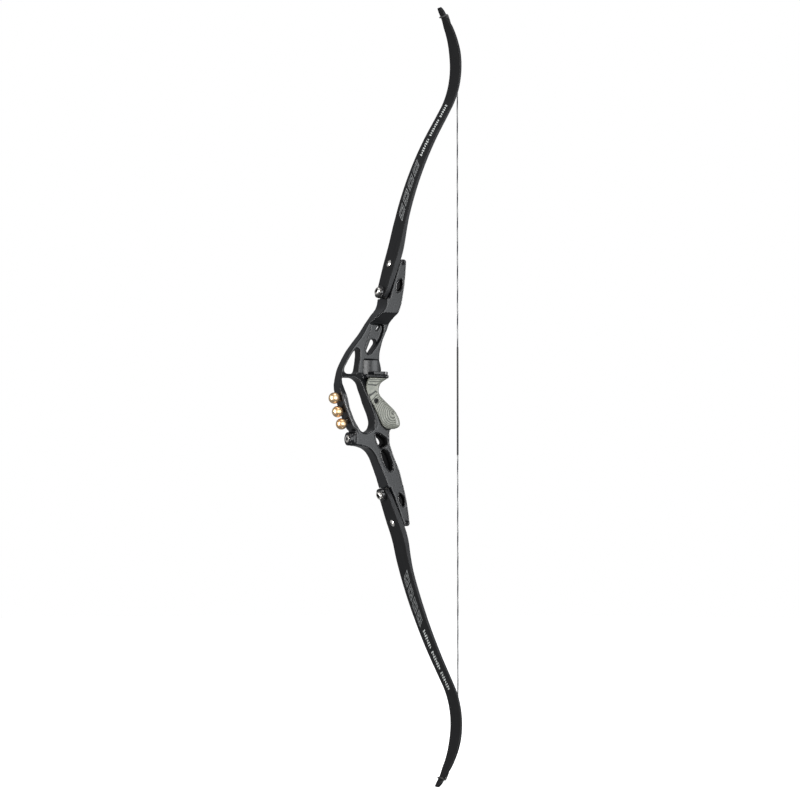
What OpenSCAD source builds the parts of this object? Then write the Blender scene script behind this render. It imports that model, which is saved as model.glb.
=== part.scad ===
// Take-down recurve bow, strung, held upright with the string behind the grip.
// X runs from the target side, negative, to the archer's side. Z runs up the bow and Y across it.
// The sight window is cut on the -Y side, so the bow is drawn with the right hand.
// The origin is the throat of the grip.

/* [Riser] */
// Width of the riser's two ends, under the limbs
end_w = 41; // [38:0.5:43]
// Width of the riser's lower part and of its front bar
mid_w = 30; // [27:0.5:33]
// How far past the middle of the bow the sight window is cut
window_cut = 3.5; // [2.5:0.5:5.5]
// How far the riser reaches on the far side of the sight window
window_far = 27; // [24:0.5:30]
// Width of the riser's tongue inside the grip
tongue_w = 16; // [12:0.5:18]
// Depth of the recess around the riser's upper windows
recess_d = 8.5; // [4:0.5:10]
// Depth of the recesses in the near side of the riser's lower part
lower_recess_d = 13; // [8:0.5:14]
// Depth of those in its far side
far_recess_d = 12; // [6:0.5:13]
// Step in the riser's front face where a limb's butt lies
step_h = 4.2; // [2:0.2:6]
// Diameter of the boss that holds the stabilizer bushing
boss_d = 25; // [20:1:27]
// Depth of the hollows in the sides of the riser's ends
hollow_d = 10; // [4:1:11]

/* [Shelf] */
// Width of the flange above the grip
flange_w = 34; // [30:1:38]
// Thickness of that flange
flange_t = 6; // [4:0.5:6.5]
// Thickness of the arrow shelf that lies on the flange
shelf_t = 6; // [4:0.5:7]
// How far the sight window's scoop is cut behind its face
scoop_d = 1; // [0.5:0.5:3]
// Radius of the scooped web beside the arrow
scoop_r = 60; // [50:1:80]

/* [Grip] */
// Width of the grip at its throat
throat_w = 27; // [24:0.5:29]
// Width of the grip at its heel
heel_w = 36; // [32:0.5:38]
// Gap between the grip and the riser
grip_gap = 0.3; // [0.1:0.1:0.6]
// Diameter of the grip screw's head
grip_head_d = 9.5; // [7:0.5:11]
// Diameter of the grip screw's shank
grip_shank_d = 4.8; // [3:0.2:6]

/* [Limb pockets] */
// Lean of the upper limb's seat, from the vertical
upper_lean = 18; // [17:0.5:19]
// Lean of the lower limb's seat
lower_lean = 21.8; // [20.8:0.2:22.8]
// Distance from a limb bolt to the dovetail fitting
dovetail_s = 58; // [56:0.5:60]
// Gap between a limb and its seat
seat_gap = 1; // [0.6:0.1:1.4]

/* [Limbs] */
// Length of a limb along its middle, from its bolt to its tip
limb_end = 589; // [575:1:600]
// Thickness of a limb at its butt
butt_t = 10.5; // [9.5:0.1:11.5]
// Thickness of a limb halfway along
mid_t = 5.8; // [5:0.1:6.6]
// Thickness of a limb through the recurve
recurve_t = 4.4; // [3.8:0.1:5]
// Thickness of the glass on each face of a limb
glass_t = 1.1; // [0.7:0.1:1.4]
// Width of a limb at its butt
butt_w = 45; // [42:0.5:46]
// Width of a limb halfway along
half_w = 40; // [37:0.5:42]
// Width of a limb where the recurve turns forward
recurve_w = 36.5; // [33:0.5:38]
// Width of a limb at its string nocks
nock_w = 15; // [13:0.5:17]
// Thickness of the overlay at a limb's tip
overlay_t = 2.4; // [1.6:0.2:3.2]

/* [Limb bolts] */
// Diameter of a limb bolt's shank
bolt_d = 11.6; // [10:0.2:12.4]
// Diameter of a limb bolt's barrel head
bolt_head_d = 24; // [18:0.5:25]
// Height of that head above the limb
bolt_head_h = 6; // [5:0.2:9]
// Diameter of the lock screw's steel head
lock_head_d = 15; // [14:0.5:17]
// Diameter of the lock screw's shank
lock_d = 6; // [5:0.2:6.6]
// Width across the flats of the lock screw's hex socket
lock_hex = 8; // [6:0.5:9]
// Outer diameter of the threaded insert in the riser
insert_d = 16; // [15:0.5:17]
// Length of that insert
insert_l = 15; // [12:1:17]

/* [Limb fittings] */
// Diameter of the dovetail's flange
dovetail_d = 14; // [12.5:0.5:15]
// Thickness of the dovetail's flange
dovetail_t = 2.6; // [2:0.2:3]
// Diameter of the dovetail's neck
neck_d = 9.6; // [8.8:0.2:10.6]
// Diameter of the sleeve inside the limb
sleeve_d = 11; // [10:0.2:11.8]
// Diameter of the domed screw's head
dome_d = 13; // [12:0.5:15]
// Height of the domed head
dome_h = 3; // [2:0.2:4]
// Diameter of the spring detent's pin
detent_d = 4.6; // [3.6:0.2:5]
// How far the detent's pin stands out
detent_out = 1.6; // [1:0.2:2]
// Diameter of the alignment screws in the riser's ends
align_d = 5; // [4:0.5:6]

/* [Weights] */
// Diameter of the brass balls on the front bar
ball_d = 21; // [18:0.5:22]
// Distance from a ball's middle to its flat seat
ball_seat = 9.6; // [8.6:0.1:9.8]
// Diameter of the studs that hold the balls
stud_d = 6; // [4:0.5:7]
// Diameter of the pads that the balls stand on
pad_d = 11; // [9:0.5:13]

/* [Stabilizer bushing] */
// Outer diameter of the bushing
bushing_d = 14; // [12:0.5:15]
// Minor diameter of its 5/16-24 thread
thread_d = 6.9; // [6:0.1:8]
// Depth of its thread
thread_l = 18; // [14:1:20]

/* [String] */
// Diameter of the twisted string
string_d = 2.6; // [2:0.1:3.2]
// Diameter of the centre serving
serving_d = 3.6; // [3.2:0.1:4]
// Height of the nocking point
nock_z = 40; // [38:1:44]
// Top end of the centre serving
serving_top = 88; // [70:1:110]
// Bottom end of the centre serving
serving_bottom = -117; // [-140:1:-95]
// Diameter of the served loops at the tips
loop_d = 3.2; // [2.6:0.1:3.4]

/* [Hidden] */
$fn = 48;

// Colours of the object
anodised = "#3c3d40";
black_metal = "#121314";
steel = "#b9b4aa";
brass = "#c9974c";
limb_grey = "#5c5d61";
limb_black = "#242426";
grip_wood = "#c9c8bb";
string_grey = "#55565a";

// Running clearance of a shank in its bore, and of a piece in its slot
fit = 0.05;
slip = 0.3;
// A length that reaches past any face that is cut
past = 60;
// Height of the flange's underside, and of the window's top
flange_z = 24.4;
window_top = 59.5;
shelf_z = flange_z + flange_t;

// Each limb bolt's axis meets its seat here, as distances along X and away from the middle
upper_bolt = [17.2, 181.2];
lower_bolt = [20.7, 186.6];
// A seat runs from the limb's butt to the riser's tip, as distances from the bolt
butt_s = -8;
step_s = -9;
tip_s = 68.5;
seat_top = seat_gap + butt_t;
// The butt is this much thinner at the bolt, and has its whole thickness after this run.
// The bolt's head bears on the slope between them.
butt_taper = 1.5;
butt_run = 50;
head_z = seat_top - butt_taper / 2 * (1 - bolt_head_d / 2 / butt_run);
// The two rockers at the riser's tip that a limb bears on
rocker_l = 3;
rocker_w = 8;
rocker_y = 13;
rocker_s = tip_s - 5;

// Outline points are [x, z, corner radius]. Those of the ends are measured from a bolt,
// along the seat and out of it.
end_back = [[73, -11.6, 6], [47, -18, 90], [24, -22.8, 90], [-10, -27.5, 60]];
upper_back = [[35.5, 150, 20], [29, 138, 16], [25, 121, 60], [13.5, 97, 60], [6.5, 73, 40],
    [6, 60, 6], [11, 43, 8]];
tongue_back = [[11, 29, 1], [-6, 23, 3], [-9, 5, 14], [-5, -9, 12], [10, -23, 16], [27, -40, 16],
    [31, -58, 8], [22, -70, 2]];
lower_back = [[17.5, -74, 6], [18, -97, 20], [26.5, -120, 60], [38, -147, 60]];
lower_front = [[5.4, -158.5, 60], [-3.5, -140, 60], [-10.5, -125, 20], [-18.5, -113, 20],
    [-28, -106, 20], [-42, -102, 30], [-54, -101.4, 4], [-54, -74, 4]];
bar_front = [[-58.5, -71, 8], [-68.6, -49.8, 90], [-78.6, -26.3, 60], [-84, -4, 30], [-84, 9, 30],
    [-80.5, 20, 30], [-76, 32, 60], [-71, 45, 60], [-63, 60, 60], [-54.5, 74, 60], [-43, 88.5, 60],
    [-30, 104, 90], [-16.8, 127, 90], [-5.5, 142, 60], [5.5, 154, 20], [9.2, 164, 20]];
// The see-through openings of the riser's side
upper_opening = [[-46, 76, 4], [-43, 80.5, 3], [-35.5, 77, 6], [-34.5, 68, 20], [-36.5, 52, 30],
    [-39.5, 36, 6], [-45, 31.5, 6], [-64.5, 31.5, 5], [-68.6, 36, 5], [-67.6, 43, 10], [-59.6, 57, 40],
    [-51.2, 70, 30]];
hand_opening = [[-75.5, 24.5, 4], [-46, 24.5, 14], [-36.5, 16, 14], [-33.5, 0, 40], [-27, -21, 60],
    [-17, -43, 40], [-12.5, -58, 15], [-16, -71, 12], [-30, -79, 14], [-43, -75, 10],
    [-56, -56, 60], [-66, -33, 60], [-70, -16, 40], [-74, -2, 30], [-77, 13, 10]];
// Recesses around the windows, and the windows through them
upper_recess = [[-9, 126, 5], [-12, 113, 20], [-18, 97, 40], [-24, 78, 6], [-19, 68, 4],
    [-12, 69.5, 8], [0.5, 85, 40], [9, 98, 40], [16, 116, 10], [15, 126, 5]];
upper_windows = [[[-18, 74, 3], [-11, 70.5, 3], [4, 91, 4], [2.5, 98, 4], [-8, 97.5, 4]],
    [[2, 114.5, 2], [6, 113.5, 2], [12.5, 122.5, 2.5], [9, 125, 2.5]]];
lower_recesses = [[[-13, -78.5, 2], [-2, -80, 4], [11, -88.5, 5], [13.5, -97, 4], [3, -105, 4],
        [-3, -105, 3], [-9, -95, 8]],
    [[0, -109, 3], [9, -108.5, 3], [16, -115.5, 10], [24, -134, 20], [24.5, -145, 4],
        [18, -149, 4], [7.5, -137, 20], [0, -118, 10]]];
// The recesses in the lower part's far side are the near ones moved forward by this
far_shift = 3;
lower_windows = [[[-10.5, -82, 2], [-2, -83, 3], [9, -90.5, 4], [11.5, -96.5, 4], [3, -102.5, 4],
        [-2.5, -102.5, 3], [-8, -93, 6]],
    [[2.5, -112, 3], [9, -111.5, 3], [14.5, -117.5, 10], [22, -134.5, 20], [22.5, -143.5, 4],
        [18, -145.5, 3], [9.5, -136, 20], [3, -119, 10]]];
// A lens-shaped hollow's two points and half its width, and the alignment screw, from the bolt
hollow_s = [8, 34];
hollow_drop = -12.8;
hollow_half = 5.6;
align_s = dovetail_s + 6.4;
align_drop = -6.4;
align_l = 11;

// The grip at rising distances down from its top: [z, front edge, back, half width, crown]
grip_top = flange_z - grip_gap;
grip_rows = [[grip_top, -24, 19, throat_w / 2 + 1.5, 14], [15, -28.5, 4.6, throat_w / 2 + 0.5, 13],
    [2, -29.4, 0, throat_w / 2, 12], [-8, -27, 3.2, throat_w / 2 + 0.5, 13],
    [-19, -21.2, 14.8, throat_w / 2 + 1.5, 15], [-34, -12.5, 32.8, heel_w / 2 - 1, 19],
    [-47, -6, 42.1, heel_w / 2, 22], [-58, -0.5, 45.7, heel_w / 2, 23],
    [-65.5, 5, 43.6, heel_w / 2 - 1.5, 19], [-69.6, 12, 34, heel_w / 2 - 4.5, 14]];
grip_steps = 3;
grip_arc = 10;
grip_bottom = grip_rows[len(grip_rows) - 1][0];
// The grip's screw: where it stands, how deep its head sits, and the head's height
grip_screw_at = [-11, -18.4];
screw_sink = 2;
grip_head_h = 2.6;

// Front of the scoop in the sight window, and front of the shelf
scoop_x = -27.5;
web_x = 2;
shelf_x = -16.5;
flange_x = -31.5;
flange_nose = 21;
shelf_nose = 19;

// Ball weights: foot on the bar's front, lean of the bar there, and height of the pad
weight_feet = [[-81.6, -12, 13.6, 0.8], [-74.6, -34.9, 23, 1.4], [-65.2, -56.1, 26, 2.9]];
stud_in = 6;
stud_bore = 8;

// Limb bolt: how far its shank stops above the insert's foot, the chamfer of its head, and
// how deep the lock screw's head sits in it
bolt_short = 2;
bolt_chamfer = 1;
lock_sink = 2;
// Lock screw: height and chamfer of its head, floor of its socket, and what stands below the insert
lock_head_h = 5.2;
lock_chamfer = 1.2;
lock_floor = 1;
lock_tail = 6;
// Dovetail: thickness of the lips over its flange, and how deep the domed screw goes in
lip_t = 1.5;
screw_in = 6.5;
flange_top = -lip_t - slip / 2;
// Width of the small hex sockets, and how deep they are
screw_hex = 4.6;
align_hex = 2.9;
socket_l = 1.8;

// The stabilizer's axis height, and where the bushing's face lies
boss_z = -88.9;
boss_x = -64.7;
boss_root = -40;
flare_x = -46;
bushing_out = 0.6;
bushing_floor = 4.2;

// Stations along a limb, as distances from its bolt
station_count = 60;
limb_step = (limb_end - butt_s) / station_count;
// Places along a limb, and how each limb leans there when strung
curve_stops = [70, 110, 170, limb_end - 244, limb_end - 204, limb_end - 44, limb_end];
upper_leans = [upper_lean, 11.7, 16.7, 30.8, 29.6, -24.6, -32.4];
lower_leans = [lower_lean, 10.1, 18.1, 27, 27.3, -28.1, -36.2];
upper_curve = [for (i = [0:6]) [curve_stops[i], upper_leans[i]]];
lower_curve = [for (i = [0:6]) [curve_stops[i], lower_leans[i]]];
// Thickness and width of a limb at places along it
thickness = [[0, butt_t - butt_taper], [butt_run, butt_t], [85, butt_t], [150, mid_t + 0.6],
    [limb_end - 289, mid_t], [limb_end - 189, recurve_t + 0.2], [limb_end - 119, recurve_t]];
width = [[butt_s, butt_w - 17], [butt_s + 4, butt_w - 12], [12, butt_w - 8], [40, butt_w - 3.5],
    [65, butt_w], [90, butt_w], [250, half_w + 1], [350, half_w - 1.5], [limb_end - 94, recurve_w],
    [limb_end - 59, recurve_w - 7], [limb_end - 35, nock_w + 9.5], [limb_end - 25, nock_w],
    [limb_end - 7, nock_w], [limb_end, nock_w - 6]];
nock_s = limb_end - 18;
nock_r = 1.9;
// How far outside the limb's side the nock's groove is centred
nock_out = 0.7;
overlay_s = [limb_end - 29, limb_end - 3];
overlay_w = 9;

// Where the loop of the string leaves the belly, and the steps along the belly
split_s = overlay_s[0] - 15;
wrap_count = 9;
string_sides = 8;
// Room between the string and what it lies on
string_room = 0.1;

// Maps a distance along the seat and out of it to X and Z
function upper_at(s, n) = [upper_bolt[0] + s * sin(upper_lean) - n * cos(upper_lean),
    upper_bolt[1] + s * cos(upper_lean) + n * sin(upper_lean)];
function lower_at(s, n) = [lower_bolt[0] + s * sin(lower_lean) - n * cos(lower_lean),
    -lower_bolt[1] - s * cos(lower_lean) - n * sin(lower_lean)];
function reversed(list) = [for (i = [len(list) - 1:-1:0]) list[i]];
function unit(v) = v / norm(v);

// One corner of an outline as an arc, no larger than half of either side
function arc(a, b, c, r) = norm(unit(a - b) + unit(c - b)) < 0.01 ? [b] :
    let (u = unit(a - b), v = unit(c - b), half = acos(u * v) / 2,
        reach = min(r / tan(half), 0.49 * min(norm(a - b), norm(c - b))),
        rr = reach * tan(half), m = b + unit(u + v) * norm([reach, rr]),
        p = b + u * reach - m, q = b + v * reach - m,
        start = atan2(p[1], p[0]), turn = atan2(p[0] * q[1] - p[1] * q[0], p * q),
        steps = max(2, ceil(abs(turn) / 12)))
    [for (i = [0:steps]) m + rr * [cos(start + turn * i / steps), sin(start + turn * i / steps)]];
function xy(p) = [p[0], p[1]];
function corner(a, b, c) = b[2] > 0 ? arc(xy(a), xy(b), xy(c), b[2]) : [xy(b)];
function rounded(list) = let (n = len(list))
    [for (i = [0:n - 1]) each corner(list[(i + n - 1) % n], list[i], list[(i + 1) % n])];

// The riser's whole side outline, round from the upper tip
riser_outline = rounded(concat(
    [concat(upper_at(tip_s, 0), 1.5)],
    [for (p = end_back) concat(upper_at(p[0], p[1]), p[2])],
    upper_back, tongue_back, lower_back,
    [for (p = reversed(end_back)) concat(lower_at(p[0], p[1]), p[2])],
    [concat(lower_at(tip_s, 0), 1.5), concat(lower_at(step_s, 0), 0.6),
        concat(lower_at(step_s, step_h), 1)],
    lower_front, bar_front,
    [concat(upper_at(step_s, step_h), 1), concat(upper_at(step_s, 0), 0.6)]));

// The riser seen from the front, as [y, z]
far_edge = [[end_w / 2, 280], [end_w / 2, 150, 40], [end_w / 2, 128, 30], [window_far, 98, 30],
    [window_far, 36, 20], [mid_w / 2, -8, 30], [mid_w / 2, -122, 60], [end_w / 2, -190, 60],
    [end_w / 2, -280]];
near_edge = [[-end_w / 2, -280], [-end_w / 2, -190, 60], [-mid_w / 2, -122, 60], [-mid_w / 2, -8, 20],
    [window_cut, 34, 4], [window_cut, 127, 6], [-end_w / 2, 145, 4], [-end_w / 2, 280]];
riser_front = rounded([for (p = concat(far_edge, near_edge)) len(p) == 3 ? p : [p[0], p[1], 0]]);

// A limb's middle line when strung: [distance, x, z, lean], with z counted away from the middle
function limb_line(curve, start) = [for (i = 0, s = butt_s, p = start; i <= station_count;
    p = p + limb_step * [sin(lookup(s + limb_step / 2, curve)), cos(lookup(s + limb_step / 2, curve))],
    i = i + 1, s = butt_s + i * limb_step) [s, p[0], p[1], lookup(s, curve)]];
seat_mid = seat_gap + butt_t / 2;
upper_line = limb_line(upper_curve, upper_at(butt_s, seat_mid));
lower_line = limb_line(lower_curve, [for (i = [0:1]) [1, -1][i] * lower_at(butt_s, seat_mid)[i]]);
function column(line, k) = [for (p = line) [p[0], p[k]]];
// A point beside the middle line at distance s, n towards the front face, as [x, z]
function beside(line, s, n) = let (a = lookup(s, column(line, 3)))
    [lookup(s, column(line, 1)) - n * cos(a), lookup(s, column(line, 2)) + n * sin(a)];
function half_t(s) = lookup(s, thickness) / 2;

// Where the string leaves the belly: the station where the limb stands upright
function upright_s(curve) = lookup(0, [for (i = [5, 4]) [curve[i][1], curve[i][0]]]);
upper_touch_s = upright_s(upper_curve);
lower_touch_s = upright_s(lower_curve);
string_off = -string_d / 2;
upper_touch = beside(upper_line, upper_touch_s, string_off - half_t(upper_touch_s));
lower_touch = beside(lower_line, lower_touch_s, string_off - half_t(lower_touch_s));
string_x = max(upper_touch[0], lower_touch[0]) + string_room / 2;

// A plate between two values of Y, from a drawing in X and Z
module slab(y0, y1) { translate([0, y1, 0]) rotate([90, 0, 0]) linear_extrude(y1 - y0) children(); }
// A plate along X, from a drawing in Y and Z
module front_slab(x0, x1) { translate([x0, 0, 0]) rotate([90, 0, 90]) linear_extrude(x1 - x0) children(); }
// A frame at a limb's seat: X along the limb from the bolt, Z out of the seat
module seat_frame(bolt, lean) { translate([bolt[0], 0, bolt[1]]) rotate([0, lean - 90, 0]) children(); }
module upper_end() { seat_frame(upper_bolt, upper_lean) children(); }
module lower_end() { mirror([0, 0, 1]) seat_frame(lower_bolt, lower_lean) children(); }
module both_ends() {
    upper_end() children();
    lower_end() children();
}
// A slot of round-ended plan, from x0 to x1 and z0 to z1
module slot(x0, x1, w, z0, z1) {
    translate([x0, 0, z0]) cylinder(d = w, h = z1 - z0);
    translate([x0, -w / 2, z0]) cube([x1 - x0, w, z1 - z0]);
}
module tube(d_out, d_in, z0, z1) {
    translate([0, 0, z0]) difference() {
        cylinder(d = d_out, h = z1 - z0);
        translate([0, 0, -1]) cylinder(d = d_in, h = z1 - z0 + 2);
    }
}
module rod(d, z0, z1) { translate([0, 0, z0]) cylinder(d = d, h = z1 - z0); }
// A hex socket of width w, open upwards from z
module hex(w, z) { translate([0, 0, z]) cylinder(d = w, h = past, $fn = 6); }

// The riser's core: its side outline, as wide as its front outline says
module riser_body() {
    intersection() {
        slab(-end_w / 2, window_far) polygon(riser_outline);
        front_slab(-2 * past, 2 * past) polygon(riser_front);
    }
    // The boss of the stabilizer, and the pads of the balls
    translate([boss_x, 0, boss_z]) rotate([0, 90, 0]) cylinder(d = boss_d, h = boss_root - boss_x);
    boss_flare();
    for (f = weight_feet) at_foot(f) rod(pad_d, -stud_in, f[3]);
    // The flange above the grip, and the rockers that the limbs bear on
    translate([0, 0, flange_z]) linear_extrude(flange_t) nose(flange_x, flange_nose, flange_w);
    both_ends() for (y = [-1, 1]) translate([rocker_s, y * rocker_y - rocker_w / 2, -1])
        cube([rocker_l, rocker_w, seat_gap + 1]);
}
// The boss spreads into the riser's whole width
module boss_flare() {
    hull() {
        translate([boss_x + 5, 0, boss_z]) rotate([0, 90, 0]) cylinder(d = boss_d, h = 1);
        translate([flare_x, -mid_w / 2, boss_z - boss_d / 2]) cube([1, mid_w, boss_d]);
    }
}
// Plan of a plate with a half-round nose
module nose(x0, x1, w) {
    translate([x1 - w / 2, 0]) circle(d = w);
    translate([x0, -w / 2]) square([x1 - w / 2 - x0, w]);
}
module at_foot(f) { translate([f[0], 0, f[1]]) rotate([0, -90 - f[2], 0]) children(); }

// The round web beside the arrow, and the space that the scoop clears
module scoop_web(gap) {
    translate([web_x, window_cut + scoop_d + scoop_r, 0])
        cylinder(r = scoop_r + gap, h = 2 * past, center = true, $fn = 96);
}
module scoop() {
    difference() {
        slab(-past, window_far + 1) polygon(rounded([[scoop_x, shelf_z, 0], [scoop_x, window_top, 5],
            [past, window_top, 0], [past, shelf_z, 0]]));
        scoop_web(0);
    }
}

// Where the grip lies: behind its front edge, on both sides of the tongue
module grip_room(y0, y1) {
    edge = [for (r = grip_sections) [r[1] - grip_gap, r[0]]];
    last = edge[len(edge) - 1];
    slab(y0, y1) polygon(concat([[edge[0][0], flange_z]], edge,
        [[last[0], grip_bottom - grip_gap], [past, grip_bottom - grip_gap], [past, flange_z]]));
}

// Cuts for the hardware at one end of the riser
module end_cuts() {
    rod(insert_d, -insert_l, 1);
    rod(lock_d + 1, -past, 1);
    slot(dovetail_s, dovetail_s + past, neck_d + 2 * slip, -lip_t - 1, 1 + seat_gap);
    slot(dovetail_s, dovetail_s + past, dovetail_d + 2 * slip, flange_top - dovetail_t - slip, -lip_t);
    translate([dovetail_s, 0, 0]) rod(detent_d + 2 * slip, detent_foot - 2 * slip, 0);
    for (y = [-1, 1]) {
        translate([align_s, y * (end_w / 2 - align_l / 2 + 1), align_drop])
            rotate([90, 0, 0]) cylinder(d = align_d, h = align_l + 2, center = true);
        translate([0, y * (end_w / 2 - hollow_d / 2 + 1), 0]) lens();
    }
}
// The lens is what two circles share
module lens() {
    reach = (hollow_s[1] - hollow_s[0]) / 2;
    r = (pow(reach, 2) + pow(hollow_half, 2)) / (2 * hollow_half);
    rotate([90, 0, 0]) linear_extrude(hollow_d + 2, center = true)
        translate([hollow_s[0] + reach, hollow_drop]) intersection() {
            translate([0, r - hollow_half]) circle(r = r, $fn = 96);
            translate([0, hollow_half - r]) circle(r = r, $fn = 96);
        }
}

module riser() {
    color(anodised) difference() {
        riser_body();
        slab(-past, past) polygon(rounded(upper_opening));
        slab(-past, past) polygon(rounded(hand_opening));
        slab(-past, window_cut + recess_d) polygon(rounded(upper_recess));
        for (w = concat(upper_windows, lower_windows)) slab(-past, past) polygon(rounded(w));
        for (r = lower_recesses) {
            slab(-past, lower_recess_d - mid_w / 2) polygon(rounded(r));
            slab(mid_w / 2 - far_recess_d, past) translate([-far_shift, 0]) polygon(rounded(r));
        }
        scoop();
        grip_room(-past, -tongue_w / 2);
        grip_room(tongue_w / 2, past);
        both_ends() end_cuts();
        for (f = weight_feet) at_foot(f) rod(stud_d, -stud_in, past);
        translate([boss_x - bushing_out, 0, boss_z]) rotate([0, 90, 0])
            cylinder(d = bushing_d, h = thread_l + bushing_floor + slip);
        translate([grip_screw_at[0], 0, grip_screw_at[1]]) rotate([90, 0, 0])
            cylinder(d = grip_shank_d, h = tongue_w + 2, center = true);
    }
}

// The arrow shelf: a plate on the flange, fitted round the scooped web
module arrow_shelf() {
    color(anodised) difference() {
        translate([0, 0, shelf_z]) linear_extrude(shelf_t) nose(shelf_x, shelf_nose, flange_w - 1);
        scoop_web(slip);
        translate([web_x, window_cut + scoop_d - slip, shelf_z - 1]) cube([past, past, past]);
    }
}

// Smooth value between rows i and i + 1 of a table, along a curve through all rows
function smooth(rows, i, t, k) =
    let (n = len(rows) - 1, a = rows[max(i - 1, 0)][k], b = rows[i][k], c = rows[i + 1][k],
        d = rows[min(i + 2, n)][k])
    b + 0.5 * t * (c - a + t * (2 * a - 5 * b + 4 * c - d + t * (3 * (b - c) + d - a)));
last_row = len(grip_rows) - 2;
grip_sections = [for (i = [0:last_row], j = [0:grip_steps - (i == last_row ? 0 : 1)])
    [for (k = [0:4]) smooth(grip_rows, i, j / grip_steps, k)]];
// One section of the grip: flat sides from its front edge, and a crowned back
function grip_ring(r) = concat([[r[1], r[3], r[0]], [r[1], -r[3], r[0]]],
    [for (i = [0:grip_arc]) let (a = -90 + 180 * i / grip_arc)
        [r[2] - r[4] + r[4] * cos(a), r[3] * sin(a), r[0]]]);
module grip() {
    rings = [for (r = grip_sections) grip_ring(r)];
    m = len(rings[0]);
    n = len(rings);
    color(grip_wood) difference() {
        polyhedron([for (r = rings) each r], concat(
            [[for (i = [0:m - 1]) i]], [[for (i = [m - 1:-1:0]) (n - 1) * m + i]],
            [for (j = [0:n - 2], i = [0:m - 1]) let (a = j * m + i, b = j * m + (i + 1) % m)
                each [[a, a + m, b], [b, a + m, b + m]]]));
        slab(-tongue_w / 2 - fit, tongue_w / 2 + fit) polygon(riser_outline);
        at_grip_screw() {
            cylinder(d = grip_shank_d + 0.4, h = past);
            translate([0, 0, throat_w / 2 - screw_sink]) cylinder(d = grip_head_d + slip, h = past);
        }
    }
}
module at_grip_screw() { translate([grip_screw_at[0], 0, grip_screw_at[1]]) rotate([90, 0, 0]) children(); }
module grip_screw() {
    foot = throat_w / 2 - screw_sink;
    color(black_metal) at_grip_screw() difference() {
        union() {
            rod(grip_shank_d - 2 * fit, -tongue_w / 2, foot + grip_head_h / 4);
            rod(grip_head_d, foot, foot + grip_head_h);
        }
        hex(screw_hex, foot + grip_head_h - socket_l);
    }
}

module stabilizer_bushing() {
    color(steel) translate([boss_x - bushing_out, 0, boss_z]) rotate([0, 90, 0]) difference() {
        cylinder(d = bushing_d - 2 * fit, h = thread_l + bushing_floor);
        translate([0, 0, -1]) cylinder(d = thread_d, h = thread_l + 1);
    }
}

// A brass ball with a flat seat, screwed on its stud
module weight(f) {
    color(brass) at_foot(f) translate([0, 0, f[3]]) difference() {
        intersection() {
            translate([0, 0, ball_seat]) sphere(d = ball_d, $fn = 64);
            cylinder(d = ball_d + 1, h = ball_d + 1);
        }
        translate([0, 0, -1]) cylinder(d = stud_d + 2 * fit, h = stud_bore + 1);
    }
}
module top_weight() { weight(weight_feet[0]); }
module middle_weight() { weight(weight_feet[1]); }
module bottom_weight() { weight(weight_feet[2]); }
module weight_studs() {
    color(steel) for (f = weight_feet) at_foot(f)
        rod(stud_d - 2 * fit, -stud_in, f[3] + stud_bore - slip);
}

module alignment_screws() {
    color(black_metal) both_ends() for (y = [-1, 1])
        translate([align_s, y * (end_w / 2 - align_l), align_drop]) rotate([-90 * y, 0, 0]) difference() {
            cylinder(d = align_d - 2 * fit, h = align_l - 2 * slip);
            hex(align_hex, align_l - 2 * slip - socket_l);
        }
}

// Hardware of one limb seat, drawn in the seat's frame
module bolt_insert() { color(steel) tube(insert_d - 2 * fit, bolt_d + 2 * fit, -insert_l, 0); }
module limb_bolt() {
    top = head_z + bolt_head_h;
    color(black_metal) difference() {
        union() {
            rod(bolt_d, bolt_short - insert_l, head_z + bolt_chamfer);
            rod(bolt_head_d, head_z, top - bolt_chamfer);
            translate([0, 0, top - bolt_chamfer])
                cylinder(d1 = bolt_head_d, d2 = bolt_head_d - 2 * bolt_chamfer, h = bolt_chamfer);
        }
        rod(lock_d + 2 * fit, -past, past);
        rod(lock_head_d + 2 * fit, top - lock_sink, past);
    }
}
module lock_screw() {
    head = head_z + bolt_head_h - lock_sink;
    color(steel) difference() {
        union() {
            rod(lock_d, -insert_l - lock_tail, head + lock_floor);
            rod(lock_head_d, head, head + lock_head_h);
            translate([0, 0, head + lock_head_h])
                cylinder(d1 = lock_head_d, d2 = lock_head_d - 2 * lock_chamfer, h = lock_chamfer);
        }
        hex(lock_hex / cos(30), head + lock_floor);
    }
}
module dovetail() {
    color(steel) translate([dovetail_s, 0, 0]) difference() {
        union() {
            rod(dovetail_d, flange_top - dovetail_t, flange_top);
            rod(neck_d, flange_top - dovetail_t / 2, 2 * seat_gap);
            rod(sleeve_d, seat_gap, seat_top - 2.5);
        }
        rod(detent_d + 2 * fit, -past, seat_top - screw_in);
        rod(lock_d, seat_top - screw_in - 0.5, past);
    }
}
module dovetail_screw() {
    dome_r = (pow(dome_d / 2, 2) + pow(dome_h, 2)) / (2 * dome_h);
    color(steel) translate([dovetail_s, 0, seat_top]) difference() {
        union() {
            rod(lock_d - 2 * fit, -screw_in, 0.5);
            intersection() {
                translate([0, 0, dome_h - dome_r]) sphere(r = dome_r, $fn = 64);
                cylinder(d = dome_d, h = dome_h + 1);
            }
        }
        hex(screw_hex, dome_h - socket_l);
    }
}
detent_foot = flange_top - dovetail_t - detent_out;
module detent_pin() {
    color(steel) translate([dovetail_s, 0, detent_foot + detent_d / 2]) {
        sphere(d = detent_d, $fn = 32);
        rod(detent_d, 0, -detent_foot - detent_d / 2 - 1);
    }
}
module detent_spring() {
    color(steel) translate([dovetail_s, 0, 0])
        tube(detent_d - 0.4, detent_d - 1.4, -1, seat_top - screw_in);
}

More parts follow.
